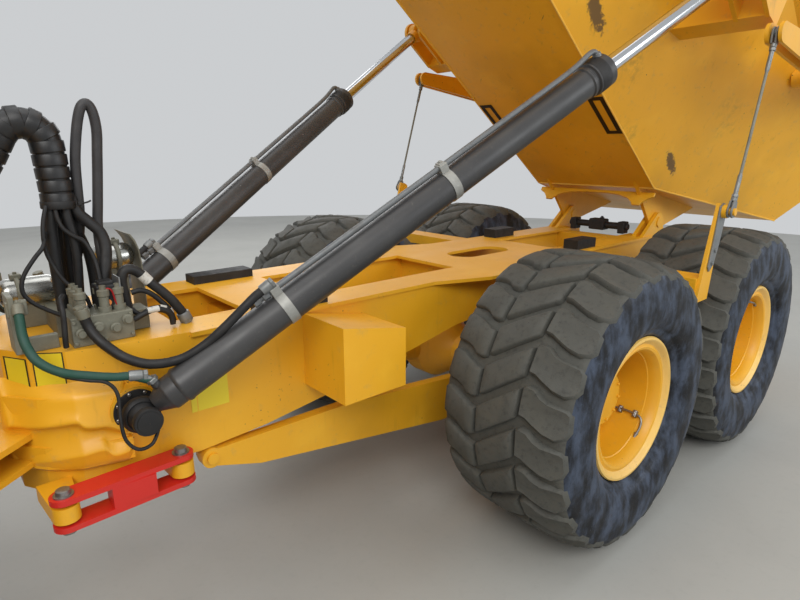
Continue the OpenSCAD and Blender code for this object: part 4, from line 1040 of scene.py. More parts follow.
def ferrule(tip, way, radius, length=0.06):
    """A crimped hose end with its hexagon."""
    way = Vector(way).normalized()
    tip = Vector(tip)
    sleeve = lathe([(0, 0.0), (0, radius * 1.16), (0.004, radius * 1.24), (length * 0.7, radius * 1.24),
                    (length * 0.76, radius * 1.05), (length * 0.76, 0.0)], tip, way, 24)
    nut = bevelled(bar(tip + way * length * 0.76, tip + way * length, radius * 1.25, sides=6), 0.0015, 1)
    return [smooth(sleeve, 30), nut]


HOIST_HOSE_R, PORT_HOSE_R = 0.019, 0.0165
# Hoses that run to the hoist barrel: name, points, radius and finish
HOSES = (
    ("hoist_hose", HOIST_HOSE, HOIST_HOSE_R, "black_rubber"),
    ("port_hose", PORT_HOSE, PORT_HOSE_R, "green_hose"),
    ("grease_hose", GREASE_HOSE, 0.007, "black_rubber"),
)
CONDUIT_BEND, CONDUIT_TOP = 0.078, (-2.318, 1.325)
CONDUIT = (((-2.231, -0.150, 1.100), (-2.232, -0.150, 1.160), (-2.235, -0.150, 1.230))
           + tuple((CONDUIT_TOP[0] + CONDUIT_BEND * math.cos(math.radians(a)), -0.150,
                    CONDUIT_TOP[1] + CONDUIT_BEND * math.sin(math.radians(a))) for a in range(0, 151, 30))
           + ((-2.440, -0.150, 1.270), (-2.503, -0.147, 1.175), (-2.575, -0.137, 1.080), (-2.655, -0.118, 0.990),
              (-2.738, -0.092, 0.895), (-2.815, -0.060, 0.795), (-2.882, -0.032, 0.690), (-2.935, -0.012, 0.590),
              (-2.959, -0.002, 0.530), (-2.963, 0.0, 0.495), (-2.963, 0.0, 0.4503)))
CONDUIT_R = 0.0598
RING_RUN = 0.047
# Hoses from the conduit's mouth to the valves, the thin lines and the harness: name, radius and points
STRANDS = (
    ("strand_1", 0.0225,
     ((-2.262, -0.165, 1.13), (-2.270, -0.165, 1.03), (-2.276, -0.165, 0.93), (-2.274, -0.160, 0.82),
      (-2.270, -0.150, 0.682))),
    ("strand_2", 0.0225,
     ((-2.238, -0.125, 1.13), (-2.246, -0.118, 1.03), (-2.250, -0.112, 0.93), (-2.252, -0.105, 0.82),
      (-2.250, -0.095, 0.682))),
    ("strand_3", 0.0180,
     ((-2.216, -0.175, 1.13), (-2.214, -0.180, 1.054), (-2.205, -0.182, 0.988), (-2.200, -0.180, 0.90),
      (-2.204, -0.170, 0.80), (-2.212, -0.165, 0.682))),
    ("strand_4", 0.0180,
     ((-2.203, -0.130, 1.13), (-2.190, -0.125, 1.046), (-2.168, -0.115, 0.978), (-2.146, -0.100, 0.910),
      (-2.136, -0.095, 0.82), (-2.135, -0.095, 0.70), (-2.135, -0.095, 0.587))),
    ("strand_5", 0.0240,
     ((-2.190, -0.155, 1.13), (-2.174, -0.165, 1.070), (-2.140, -0.175, 1.027), (-2.108, -0.190, 0.985),
      (-2.099, -0.205, 0.930), (-2.110, -0.220, 0.865), (-2.128, -0.235, 0.790), (-2.140, -0.245, 0.702))),
    ("strand_6", 0.0190,
     ((-2.222, -0.105, 1.13), (-2.208, -0.075, 1.05), (-2.203, -0.060, 0.95), (-2.207, -0.052, 0.85),
      (-2.205, -0.048, 0.682))),
    ("thin_1", 0.0085,
     ((-2.250, -0.185, 1.123), (-2.252, -0.196, 1.060), (-2.239, -0.205, 1.014), (-2.209, -0.212, 0.982),
      (-2.172, -0.215, 0.952), (-2.150, -0.235, 0.88), (-2.150, -0.270, 0.79), (-2.158, -0.290, 0.702))),
    ("thin_2", 0.0080,
     ((-2.282, -0.190, 1.10), (-2.305, -0.215, 1.03), (-2.311, -0.222, 0.949), (-2.296, -0.222, 0.883),
      (-2.270, -0.226, 0.821), (-2.234, -0.234, 0.774), (-2.205, -0.250, 0.745), (-2.195, -0.262, 0.702))),
    ("thin_3", 0.0080,
     ((-2.296, -0.190, 1.00), (-2.320, -0.245, 0.957), (-2.355, -0.255, 0.918), (-2.391, -0.255, 0.869),
      (-2.408, -0.255, 0.828), (-2.407, -0.255, 0.790), (-2.386, -0.258, 0.756), (-2.345, -0.268, 0.722),
      (-2.296, -0.280, 0.690))),
    ("thin_4", 0.0100,
     ((-2.296, -0.330, 0.780), (-2.312, -0.365, 0.770), (-2.316, -0.396, 0.735), (-2.318, -0.400, 0.690),
      (-2.322, -0.402, 0.640), (-2.322, -0.395, 0.600))),
    ("harness_1", 0.0210,
     ((-2.066, -0.292, 0.674), (-2.076, -0.296, 0.740), (-2.080, -0.298, 0.800), (-2.064, -0.300, 0.838),
      (-2.034, -0.300, 0.838), (-2.004, -0.302, 0.814), (-1.972, -0.306, 0.775), (-1.933, -0.312, 0.734),
      (-1.899, -0.318, 0.692), (-1.876, -0.322, 0.655), (-1.862, -0.324, 0.632))),
    ("harness_2", 0.0110,
     ((-2.050, -0.300, 0.745), (-2.011, -0.306, 0.750), (-1.971, -0.310, 0.726), (-1.938, -0.316, 0.688),
      (-1.911, -0.320, 0.650), (-1.900, -0.322, 0.602))),
    ("harness_3", 0.0100,
     ((-2.070, -0.335, 0.690), (-2.036, -0.340, 0.660), (-1.995, -0.342, 0.676), (-1.950, -0.344, 0.674),
      (-1.920, -0.346, 0.650), (-1.910, -0.348, 0.602))),
    ("harness_4", 0.0120,
     ((-2.070, -0.365, 0.650), (-2.026, -0.368, 0.668), (-1.986, -0.368, 0.678), (-1.945, -0.368, 0.664),
      (-1.925, -0.368, 0.640), (-1.920, -0.368, 0.602))),
)
LOOP = ((-2.212, -0.030, 0.682), (-2.212, -0.030, 0.725), (-2.196, -0.044, 0.800), (-2.176, -0.072, 0.890),
        (-2.166, -0.112, 0.980), (-2.160, -0.140, 1.070), (-2.158, -0.150, 1.160), (-2.152, -0.150, 1.260),
        (-2.138, -0.150, 1.350), (-2.121, -0.150, 1.425), (-2.104, -0.150, 1.468), (-2.083, -0.150, 1.478),
        (-2.067, -0.150, 1.448), (-2.061, -0.150, 1.380), (-2.070, -0.150, 1.290), (-2.080, -0.150, 1.200),
        (-2.092, -0.150, 1.100), (-2.104, -0.150, 1.000), (-2.108, -0.166, 0.900), (-2.104, -0.195, 0.810),
        (-2.100, -0.225, 0.745), (-2.100, -0.229, 0.702))
# Sleeves on the harness: strand, share of its length, width
LABELS = (("harness_1", 0.55, 0.042), ("harness_4", 0.40, 0.046), ("harness_3", 0.62, 0.026),
          ("harness_2", 0.80, 0.022))


def along(points, share):
    """The point and direction at a share of the way along points."""
    whole = reach(points) * share
    for a, b in zip(points, points[1:]):
        step = (b - a).length
        if whole <= step:
            return a + (b - a) * (whole / step), (b - a).normalized()
        whole -= step
    return points[-1], (points[-1] - points[-2]).normalized()


def wrap(points, share, radius, width):
    """A short sleeve round a hose."""
    spot, way = along(points, share)
    return smooth(lathe([(-width / 2, radius), (-width / 2, radius + 0.0012), (width / 2, radius + 0.0012),
                         (width / 2, radius), (-width / 2, radius)], spot, way, 20), 30)


def conduit_rings(line):
    """The conduit's sleeve of wide overlapping rings."""
    count = int(reach(line) / RING_RUN)
    half, r = RING_RUN / 2 - 0.0025, CONDUIT_R
    rings = []
    for i in range(count):
        spot, way = along(line, (i + 0.5) / count)
        rings.append(smooth(lathe([(-half, 0.051), (-half, r - 0.0025), (0.0025 - half, r - 0.0006),
                                   (half - 0.003, r), (half, r - 0.002), (half, 0.051)], spot, way, 28), 35))
    return rings


def mouth_pieces():
    """The dark cuff round the conduit's mouth, and its tie with a tail."""
    spot = place(-2.231, -0.150, 1.100)
    cuff = lathe([(-0.014, 0.050), (-0.014, 0.0605), (-0.010, 0.0625), (0.012, 0.0625), (0.015, 0.0605),
                  (0.015, 0.050)], spot, (0, 0, 1), 32)
    lock = box(place(-2.176, -0.212, 1.097), place(-2.160, -0.198, 1.112))
    tail = pipe([(-2.168, -0.205, 1.106), (-2.155, -0.205, 1.104), (-2.140, -0.203, 1.106), (-2.128, -0.200, 1.113)],
                0.0035, 8)
    return [smooth(cuff, 35), bevelled(lock, 0.003, 2), tail]


class TRUCK_OT_hoses(bpy.types.Operator):
    """Hydraulic hoses, the ringed conduit, the loop and the harness at the frame's head"""
    bl_idname = "truck.hoses"
    bl_label = "Hoses"
    bl_options = {"REGISTER", "UNDO"}

    def execute(self, context):
        line = curved([place(*p) for p in CONDUIT])
        conduit = finished("conduit", [tube(line, 0.0535, 24, kind="POLY")] + conduit_rings(line), "conduit_black",
                           "rear_chassis", stands_for="hydraulic_hoses")
        mouth = finished("conduit_mouth", mouth_pieces(), "trim_plastic", "rear_chassis")
        loop = hose("loop_hose", LOOP, 0.0195, "grey_hose", sides=16)
        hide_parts("hydraulic_hoses")
        for name, radius, points in STRANDS:
            hose(name, points, radius, "black_rubber")
        strands = {name: (radius, points) for name, radius, points in STRANDS}
        labels = []
        for name, share, width in LABELS:
            radius, points = strands[name]
            labels.append(wrap(curved([place(*p) for p in points]), share, radius, width))
        finished("harness_labels", labels, "white_label", "rear_chassis")
        for side, sign in SIDES:
            flip = Vector((1, -sign, 1))
            for name, points, radius, look in HOSES:
                # The green hose runs on inside its crimped end and elbow
                inside = ((-2.128, -0.564, 0.479), (-2.093, -0.572, 0.462)) if name == "port_hose" else ()
                route = [tuple(Vector(p) * flip) for p in points + inside]
                hose(f"{name}_{side}", route, radius, look, far_body=f"hoist_barrel_{side}")
            self.hose_ends(side, sign)
        return {"FINISHED"}

    def hose_ends(self, side, sign):
        """The crimped ends, the flange and the elbow of the hoist's hoses."""
        flip = Vector((1, -sign, 1))
        route = [place(*(Vector(p) * flip)) for p in HOIST_HOSE]
        finished(f"hoist_hose_end_{side}", ferrule(route[0], route[0] - route[1], HOIST_HOSE_R, 0.05), "valve_grey",
                 "rear_chassis")
        finished(f"hoist_hose_tip_{side}", ferrule(route[-1], route[-1] - route[-2], HOIST_HOSE_R, 0.06),
                 "galvanised", f"hoist_barrel_{side}")
        route = [place(*(Vector(p) * flip)) for p in PORT_HOSE]
        start = ferrule(route[0], route[0] - route[1], PORT_HOSE_R, 0.055)
        plate = box((-0.034, -0.010, -0.030), (0.034, 0.010, 0.030))
        plate.data.transform(Matrix.Translation(route[0] + Vector((0, 0.03 * -sign, 0.02))))
        start.append(bevelled(plate, 0.006, 2))
        finished(f"port_hose_end_{side}", start, "valve_grey", "rear_chassis")
        base, eye, way = hoist_line(sign)
        over, out = beside(way, sign)
        port = base + way * 0.115 + over * 0.088
        elbow = tube([route[-1], route[-1] + (route[-1] - route[-2]).normalized() * 0.04,
                      port + over * 0.030 - way * 0.035, port + over * 0.024, port, port - over * 0.02], 0.012, 16)
        tip = [elbow] + ferrule(route[-1], route[-1] - route[-2], PORT_HOSE_R, 0.065)
        tip.append(bevelled(bar(port - over * 0.006, port + over * 0.012, 0.024, sides=6), 0.002, 1))
        finished(f"port_hose_tip_{side}", tip, "galvanised", f"hoist_barrel_{side}")


# Frame's head: its castings, valve gear, accumulators and plates

# Ridges of the head's casting: place along, height of the upper crest and of the lower one
CRESTS = ((-2.548, 0.300, 0.137), (-2.536, 0.300, 0.138), (-2.517, 0.302, 0.140), (-2.493, 0.300, 0.144),
          (-2.450, 0.308, 0.160), (-2.400, 0.317, 0.171), (-2.345, 0.326, 0.181), (-2.332, 0.325, 0.183),
          (-2.320, 0.301, 0.185), (-2.285, 0.296, 0.189), (-2.256, 0.293, 0.192), (-2.245, 0.291, 0.163),
          (-2.225, 0.282, 0.155), (-2.200, 0.262, 0.160), (-2.170, 0.255, 0.166), (-2.148, 0.250, 0.168))


def ridge_profile(upper, lower):
    """Height and how far it stands out, from the top of the casting's swell to its foot."""
    middle = (upper + lower) / 2
    return ((0.475, -0.006), (0.448, 0.010), (0.421, 0.048), (0.395, 0.052), (0.360, 0.060), (upper + 0.016, 0.074),
            (upper + 0.004, 0.079), (upper - 0.008, 0.072), (upper - 0.020, 0.042), (middle + 0.020, 0.034),
            (middle - 0.006, 0.040), (lower + 0.040, 0.050), (lower + 0.014, 0.065), (lower + 0.002, 0.070),
            (lower - 0.009, 0.062), (0.120, 0.048), (0.104, 0.016), (0.090, -0.006))


def head_side(x):
    """Half width of the frame's head at a place along the truck."""
    plan = ((-2.510, 0.200), (-2.440, 0.320), (-2.330, 0.400), (-2.160, 0.440), (-1.890, 0.470))
    for (x0, y0), (x1, y1) in zip(plan, plan[1:]):
        if x <= x1:
            return y0 + (y1 - y0) * max(0.0, (x - x0) / (x1 - x0))
    return plan[-1][1]


def ridges(sign):
    """The two sculpted ledges of the casting, as a grid pulled into shape and given its thickness."""
    rows = len(ridge_profile(0.3, 0.15))
    bpy.ops.mesh.primitive_grid_add(x_subdivisions=len(CRESTS) - 1, y_subdivisions=rows - 1, size=2)
    piece = bpy.context.object
    for v in piece.data.vertices:
        i = round((v.co.x + 1) / 2 * (len(CRESTS) - 1))
        j = round((v.co.y + 1) / 2 * (rows - 1))
        x, upper, lower = CRESTS[i]
        z, lift = ridge_profile(upper, lower)[j]
        if i in (0, len(CRESTS) - 1):
            lift = -0.006
        v.co = place(x, sign * (head_side(x) + lift), z)
    set_faces_right(piece)
    if sum(p.normal.y for p in piece.data.polygons) * sign < 0:
        piece.data.flip_normals()
    with_modifier(piece, "SOLIDIFY", thickness=0.012, offset=-1.0)
    return smooth(with_modifier(piece, "SUBSURF", levels=2, render_levels=2), 70)


def plate_on_side(x0, x1, z0, z1, sign, lift, thick=0.0015):
    """A thin plate laid on the head's side."""
    y0, y1 = head_side(x0), head_side(x1)
    corners = [(x0, sign * (y0 + lift), z0), (x1, sign * (y1 + lift), z0), (x1, sign * (y1 + lift), z1),
               (x0, sign * (y0 + lift), z1)]
    piece = slab([place(*c) for c in corners], (0, sign * thick, 0))
    return bevelled(piece, 0.0005, 1)


def rounded_box(low, high, width=0.004):
    """A cuboid on the truck with bevelled edges."""
    return bevelled(box(place(*low), place(*high)), width, 2)


def knob(spot, way, steps, sides=24):
    """A turned fitting: (along, radius) steps from a spot on the truck."""
    return smooth(lathe([(0.0, 0.0005)] + list(steps) + [(steps[-1][0], 0.0005)], place(*spot), way, sides), 35)


def valve_gear_pieces():
    """The valve stack on the head's deck: blocks, spool caps, ports and brackets."""
    parts = [rounded_box((-2.295, -0.385, 0.585), (-2.075, -0.205, 0.700)),
             rounded_box((-2.310, -0.205, 0.585), (-2.190, 0.020, 0.680)),
             rounded_box((-2.065, -0.300, 0.586), (-1.990, -0.190, 0.672)),
             rounded_box((-2.270, -0.365, 0.700), (-2.220, -0.225, 0.722), 0.003),
             rounded_box((-2.470, -0.330, 0.585), (-2.450, -0.210, 0.800), 0.003),
             rounded_box((-2.450, -0.330, 0.585), (-2.330, -0.300, 0.640), 0.003)]
    for x, y in ((-2.245, -0.345), (-2.245, -0.285), (-2.245, -0.235), (-2.165, -0.350), (-2.165, -0.290),
                 (-2.110, -0.340)):
        parts.append(knob((x, y, 0.698), (0, 0, 1), ((0, 0.024), (0.020, 0.024), (0.022, 0.018), (0.060, 0.018),
                                                     (0.064, 0.022), (0.085, 0.022), (0.090, 0.012), (0.104, 0.012))))
    for x, z in ((-2.265, 0.640), (-2.205, 0.655), (-2.145, 0.640), (-2.100, 0.665)):
        parts.append(knob((x, -0.384, z), (0, -1, 0), ((0, 0.020), (0.012, 0.020), (0.014, 0.014), (0.026, 0.013))))
    for x, y in ((-2.26, -0.15), (-2.26, -0.09), (-2.225, -0.04), (-2.26, -0.02)):
        parts.append(knob((x, y, 0.678), (0, 0, 1), ((0, 0.018), (0.016, 0.018), (0.018, 0.012), (0.045, 0.012))))
    parts.append(one_bolt(place(-2.185, -0.384, 0.600), (0, -1, 0), 0.009, 0.010, 0.0015))
    for x in (-2.285, -2.085):
        for z in (0.602, 0.684):
            parts.append(one_bolt(place(x, -0.384, z), (0, -1, 0), 0.008, 0.009, 0.0012))
    return parts


def accumulator(x0, x1, y, z, radius):
    """A silver accumulator bottle on its side."""
    length = x1 - x0
    bottle = lathe([(0, 0.0005), (0, radius * 0.55), (0.012, radius * 0.86), (0.030, radius * 0.98), (0.040, radius),
                    (length - 0.040, radius), (length - 0.030, radius * 0.98), (length - 0.012, radius * 0.86),
                    (length, radius * 0.55), (length, 0.0005)], place(x0, y, z), (1, 0, 0), 48)
    return [smooth(bottle, 40)]


def collars(x, y, z, radius):
    """A cast flange round an accumulator, with its lug on top."""
    ring = lathe([(-0.009, radius - 0.004), (-0.009, radius + 0.007), (-0.006, radius + 0.010),
                  (0.006, radius + 0.010), (0.009, radius + 0.007), (0.009, radius - 0.004)], place(x, y, z),
                 (1, 0, 0), 40)
    lug = rounded_box((x - 0.020, y - 0.022, z + radius - 0.004), (x + 0.020, y + 0.022, z + radius + 0.018), 0.004)
    bolt = bevelled(bar(place(x, y, z + radius + 0.016), place(x, y, z + radius + 0.026), 0.008, sides=6), 0.001, 1)
    return [smooth(ring, 35), lug, bolt]


def fin_plate():
    """The bent bracket plate behind the right-hand accumulator."""
    outline = ((-1.962, 0.952), (-1.945, 0.946), (-1.928, 0.918), (-1.916, 0.880), (-1.910, 0.820), (-1.908, 0.740),
               (-1.908, 0.586), (-1.913, 0.586), (-1.913, 0.740), (-1.916, 0.818), (-1.922, 0.876), (-1.934, 0.912),
               (-1.950, 0.938))
    piece = slab([place(x - 0.009, -0.045, z) for x, z in outline], (0, 0.19, 0))
    return smooth(bevelled(piece, 0.0012, 1), 30)


class TRUCK_OT_head(bpy.types.Operator):
    """Castings, blank plates, valve gear and accumulators on the frame's head"""
    bl_idname = "truck.head"
    bl_label = "Frame head"
    bl_options = {"REGISTER", "UNDO"}

    def execute(self, context):
        for side, sign in SIDES:
            finished(f"head_casting_{side}", [ridges(sign)], "machine_paint", "rear_chassis")
            borders, faces = [], []
            for x0, x1, z0, z1 in ((-2.502, -2.444, 0.430, 0.560), (-2.428, -2.338, 0.446, 0.585)):
                borders.append(plate_on_side(x0, x1, z0, z1, sign, 0.0005))
                faces.append(plate_on_side(x0 + 0.004, x1 - 0.004, z0 + 0.004, z1 - 0.004, sign, 0.0012))
            faces.append(plate_on_side(-1.915, -1.750, 0.230, 0.377, sign, 0.0008))
            finished(f"plate_borders_{side}", borders, "black_rubber", "rear_chassis")
            finished(f"blank_plates_{side}", faces, "blank_label", "rear_chassis")
        finished("valve_stack", valve_gear_pieces(), "valve_grey", "rear_chassis", stands_for="valve_block")
        bottles = accumulator(-2.46, -2.24, 0.06, 0.735, 0.060) + accumulator(-2.10, -1.935, 0.04, 0.840, 0.062)
        finished("accumulators", bottles, "polished_steel", "rear_chassis")
        saddles = [rounded_box((-2.43, 0.03, 0.585), (-2.27, 0.12, 0.700)), fin_plate(),
                   rounded_box((-2.07, 0.00, 0.585), (-1.97, 0.10, 0.800))]
        saddles += collars(-2.389, 0.06, 0.735, 0.060) + collars(-2.005, 0.04, 0.840, 0.062)
        finished("accumulator_brackets", saddles, "valve_grey", "rear_chassis")
        relay = [rounded_box((-2.184, -0.345, 0.700), (-2.106, -0.262, 0.800), 0.006),
                 rounded_box((-2.172, -0.335, 0.798), (-2.118, -0.272, 0.812), 0.004)]
        finished("relay_box", relay, "trim_plastic", "rear_chassis")
        finished("relay_plate", [rounded_box((-2.104, -0.352, 0.630), (-2.098, -0.262, 0.825), 0.0015)], "galvanised",
                 "rear_chassis")
        wire = pipe([(-2.160, -0.348, 0.785), (-2.150, -0.352, 0.790), (-2.132, -0.352, 0.785),
                     (-2.128, -0.352, 0.750), (-2.122, -0.352, 0.715), (-2.110, -0.350, 0.702)], 0.0035, 8)
        finished("relay_wire", [wire], "wire_red", "rear_chassis")
        tag = [smooth(lathe([(0, 0.0005), (0, 0.012), (0.003, 0.012), (0.003, 0.0005)], place(-2.150, -0.349, 0.732),
                            (0, -1, 0), 24), 30),
               rounded_box((-2.156, -0.352, 0.704), (-2.144, -0.349, 0.726), 0.001)]
        finished("relay_tag", tag, "tag_orange", "rear_chassis")
        finished("harness_fitting", ferrule(place(-1.862, -0.324, 0.632), (0.4, -0.05, -1), 0.022, 0.048),
                 "galvanised", "rear_chassis")
        pins = []
        for x, y in ((-2.430, -0.550), (-2.000, -0.530)):
            for z, way in ((0.105, 1), (-0.025, -1)):
                pins.append(smooth(lathe([(0, 0.0005), (0, 0.034), (0.005, 0.034), (0.006, 0.026), (0.022, 0.024),
                                          (0.024, 0.020), (0.024, 0.0005)], place(x, y, z), (0, 0, way), 28), 30))
        finished("lock_link_pins", pins, "machine_steel", "rear_chassis")
        return {"FINISHED"}


# Load body, as it lies when lowered: floor height and half width, slope and top of its sides, ends and tail

FLOOR_Z, FLOOR_W, SIDE_SLOPE, SIDE_TOP = 0.738, 0.555, 0.6, 2.045
BODY_FRONT, FRONT_LEAN, KINK_X, TAIL_X = -1.9, 0.2, 1.8, 3.376
TAIL_SLOPE = math.tan(math.radians(24))
GATE_PIVOT, GATE_TIP, GATE_OPEN = (1.9, 1.845), (0.495, 1.842), math.radians(31.3)
CABLE_Y, ANCHOR = 1.470, (0.953, 0.954)


def side_at(z):
    """Half width of the load body at a height."""
    return FLOOR_W + SIDE_SLOPE * (z - FLOOR_Z)


def tail_z(x):
    """Height of the rising tail's floor."""
    return FLOOR_Z + (x - KINK_X) * TAIL_SLOPE


def weld(points, radius=0.007):
    """A weld bead along an edge of the raised body."""
    return tube([raised(*p) for p in points], radius, 8, kind="POLY", resolution=1)


def flat_frame(corners, width, push):
    """A flat frame between four corners: the width of its sides, and its thickness as a vector."""
    piece = drawn([Vector(c) for c in corners])
    return set_faces_right(edit_all(piece, bpy.ops.mesh.edge_face_add, inset(width),
                                    lambda: bpy.ops.mesh.delete(type="FACE"), pick_all, extrude(push)))


def body_welds():
    """The weld beads along the body's corners and the tail's kink."""
    top = (BODY_FRONT - FRONT_LEAN, SIDE_TOP)
    lines = [[(KINK_X, -FLOOR_W, FLOOR_Z), (KINK_X, FLOOR_W, FLOOR_Z)],
             [(BODY_FRONT, -FLOOR_W, FLOOR_Z), (BODY_FRONT, FLOOR_W, FLOOR_Z)]]
    for side, sign in SIDES:
        lines.append([(BODY_FRONT, sign * FLOOR_W, FLOOR_Z), (KINK_X, sign * FLOOR_W, FLOOR_Z),
                      (TAIL_X, sign * side_at(tail_z(TAIL_X)), tail_z(TAIL_X))])
        lines.append([(BODY_FRONT, sign * FLOOR_W, FLOOR_Z), (top[0], sign * side_at(top[1]), top[1])])
    return [weld(line) for line in lines]


def tail_web():
    """The arched plate under the tail, between and beside the hinge lugs."""
    half = [(0.0, 0.714), (0.14, 0.711), (0.25, 0.699), (0.33, 0.674), (0.375, 0.636), (0.39, 0.612), (0.45, 0.612),
            (0.465, 0.640), (0.50, 0.676), (0.548, 0.700), (0.548, 0.736)]
    outline = half + [(-y, z) for y, z in reversed(half[1:])]
    start = raised(1.862, 0, 0)
    piece = slab([raised(1.862, y, z) for y, z in outline], raised(1.880, 0, 0) - start)
    return bevelled(piece, 0.003, 2)


def worn_pads():
    """The worn frames on the underside, where the lowered body rests on its pads."""
    down = raised(0, 0, -0.003) - raised(0, 0, 0)
    parts = []
    for side, sign in SIDES:
        corners = [(0.69, 0.425), (1.09, 0.425), (1.09, 0.548), (0.69, 0.548)]
        piece = flat_frame([raised(x, sign * y, FLOOR_Z - 0.0005) for x, y in corners], 0.034, down)
        parts.append(bevelled(piece, 0.001, 1))
    return parts


def gate_rope(sign):
    """The tailgate's rope with its swaged ends, forks and eyes."""
    dx, dz = GATE_TIP[0] - GATE_PIVOT[0], GATE_TIP[1] - GATE_PIVOT[1]
    low = place(ANCHOR[0], sign * CABLE_Y, ANCHOR[1])
    high = raised(GATE_PIVOT[0] + dx * math.cos(GATE_OPEN) - dz * math.sin(GATE_OPEN), sign * CABLE_Y,
                  GATE_PIVOT[1] + dx * math.sin(GATE_OPEN) + dz * math.cos(GATE_OPEN))
    way = (high - low).normalized()
    length = (high - low).length
    rope = lathe([(0.205, 0.0005), (0.205, 0.0085), (length - 0.205, 0.0085), (length - 0.205, 0.0005)], low, way, 16)
    metal = []
    for end, to in ((low, way), (high, -way)):
        stud = lathe([(0.062, 0.0005), (0.062, 0.017), (0.082, 0.0175), (0.088, 0.0125), (0.21, 0.0125),
                      (0.218, 0.0105), (0.226, 0.0085), (0.226, 0.0005)], end, to, 20)
        metal.append(smooth(stud, 30))
        metal.append(bevelled(bar(end + to * 0.086, end + to * 0.104, 0.0185, sides=6), 0.0015, 1))
        out = Vector((0, sign, 0))
        across = to.cross(out).normalized()
        for y0, y1 in ((-0.0155, -0.0055), (0.0055, 0.0155)):
            outline = [end + across * (0.036 * math.cos(a)) - to * (0.036 * math.sin(a)) + out * y0
                       for a in [math.pi * i / 10 for i in range(11)]]
            outline += [end - across * 0.020 + to * 0.064 + out * y0, end + across * 0.020 + to * 0.064 + out * y0]
            metal.append(bevelled(slab(outline, out * (y1 - y0)), 0.0015, 1))
        metal.append(bevelled(bar(end - out * 0.0155, end + out * 0.022, 0.021, sides=32), 0.003, 1))
    return [smooth(rope, 40)], metal


def arm_bracket(sign):
    """The steel cheek on the outrigger that the rope's pin goes through."""
    outline = ((0.905, 0.985), (0.950, 1.004), (0.998, 0.985), (1.005, 0.945), (0.960, 0.760), (0.915, 0.640),
               (0.862, 0.600), (0.842, 0.630), (0.872, 0.780))
    piece = slab([place(x, sign * 1.4205, z) for x, z in outline], (0, sign * 0.010, 0))
    parts = [bevelled(piece, 0.002, 1)]
    for x, z in ((0.884, 0.650), (0.905, 0.725)):
        parts.append(one_bolt(place(x, sign * 1.430, z), (0, sign, 0), 0.013, 0.009, 0.001))
    return parts


def stop_bar():
    """The black cross shaft in front of the body's hinge, with its bearings and middle block."""
    parts = [smooth(lathe([(-0.285, 0.0005), (-0.285, 0.026), (-0.281, 0.030), (0.281, 0.030), (0.285, 0.026),
                           (0.285, 0.0005)], place(2.09, 0, 0.645), (0, 1, 0), 28), 30)]
    for y in (-0.235, 0.235):
        parts.append(rounded_box((2.045, y - 0.03, 0.586), (2.135, y + 0.03, 0.690), 0.008))
    parts.append(rounded_box((2.040, -0.075, 0.600), (2.140, 0.075, 0.698), 0.012))
    parts.append(knob((2.09, -0.03, 0.697), (0, 0, 1), ((0, 0.020), (0.012, 0.020), (0.014, 0.012), (0.024, 0.011)),
                      16))
    return parts


class TRUCK_OT_body(bpy.types.Operator):
    """Weld beads, arched web, worn frames and the tailgate's ropes on the load body"""
    bl_idname = "truck.body"
    bl_label = "Load body"
    bl_options = {"REGISTER", "UNDO"}

    def execute(self, context):
        # The beads' lighter paint is a painted highlight along the body's edges
        finished("body_welds", body_welds(), "weld_highlight_paint", "load_body")
        finished("tail_web", [tail_web()], "machine_paint", "load_body")
        finished("worn_pads", worn_pads(), "worn_steel", "load_body")
        for side, sign in SIDES:
            rope, metal = gate_rope(sign)
            finished(f"gate_rope_{side}", rope, "rope_grey", f"gate_cable_{side}",
                     stands_for=f"gate_cable_{side}")
            finished(f"gate_rope_ends_{side}", metal, "galvanised", f"gate_cable_{side}")
            finished(f"rope_bracket_{side}", arm_bracket(sign), "galvanised", "rear_chassis")
        finished("stop_bar", stop_bar(), "trim_plastic", "rear_chassis")
        return {"FINISHED"}


# Tractor: its cab, hood, tanks and lamps

FRONT_END = -6.921
CAB_FRONT, CAB_BACK, CAB_W, CAB_TOP, BELT_Z = -5.0, -3.55, 0.88, 2.655, 1.65
# Just above the solids' faces: the cab's floor, the tanks' tops and outer sides, the hood's sides; then the exhaust
CAB_FLOOR, TANK_TOP, TANK_SIDE, HOOD_SIDE, EXHAUST_X, EXHAUST_Y = 0.9405, 0.3795, 1.2495, 0.6995, -5.25, 0.85
FENDER_R = 0.8435
WINDOWS = (
    # name, body, which side it is on, its lowest and highest place
    ("front", "tractor", "x-", (-0.72, 1.55), (0.72, 2.485)),
    ("back", "tractor", "x+", (-0.66, 1.65), (0.66, 2.425)),
    ("side", "tractor", "y+", (-4.89, 1.50), (-4.10, 2.425)),
    ("corner_right", "tractor", "y+", (-3.97, 1.65), (-3.66, 2.425)),
    ("corner_left", "tractor", "y-", (-3.97, 1.65), (-3.66, 2.425)),
    ("door", "cab_door", "y-", (-4.82, 1.38), (-4.14, 2.425)),
)


def cab_side(z):
    """Half width of the cab at a height."""
    return CAB_W - 0.1 * max(0.0, z - BELT_Z) / (CAB_TOP - BELT_Z)


def window_seal(side, low, high):
    """The rubber seal round a window."""
    edge = 0.014
    (a0, z0), (a1, z1) = low, high
    spots = ((a0 - edge, z0 - edge), (a1 + edge, z0 - edge), (a1 + edge, z1 + edge), (a0 - edge, z1 + edge))
    sign = 1 if side[1] == "+" else -1
    if side[0] == "x":
        x = (CAB_BACK if sign > 0 else CAB_FRONT) + sign * 0.0005
        return bevelled(flat_frame([place(x, a, z) for a, z in spots], 0.030, (sign * 0.009, 0, 0)), 0.003, 2)
    piece = flat_frame([place(a, sign * (cab_side(z) + 0.0005), z) for a, z in spots], 0.030, (0, sign * 0.009, 0))
    return bevelled(piece, 0.003, 2)


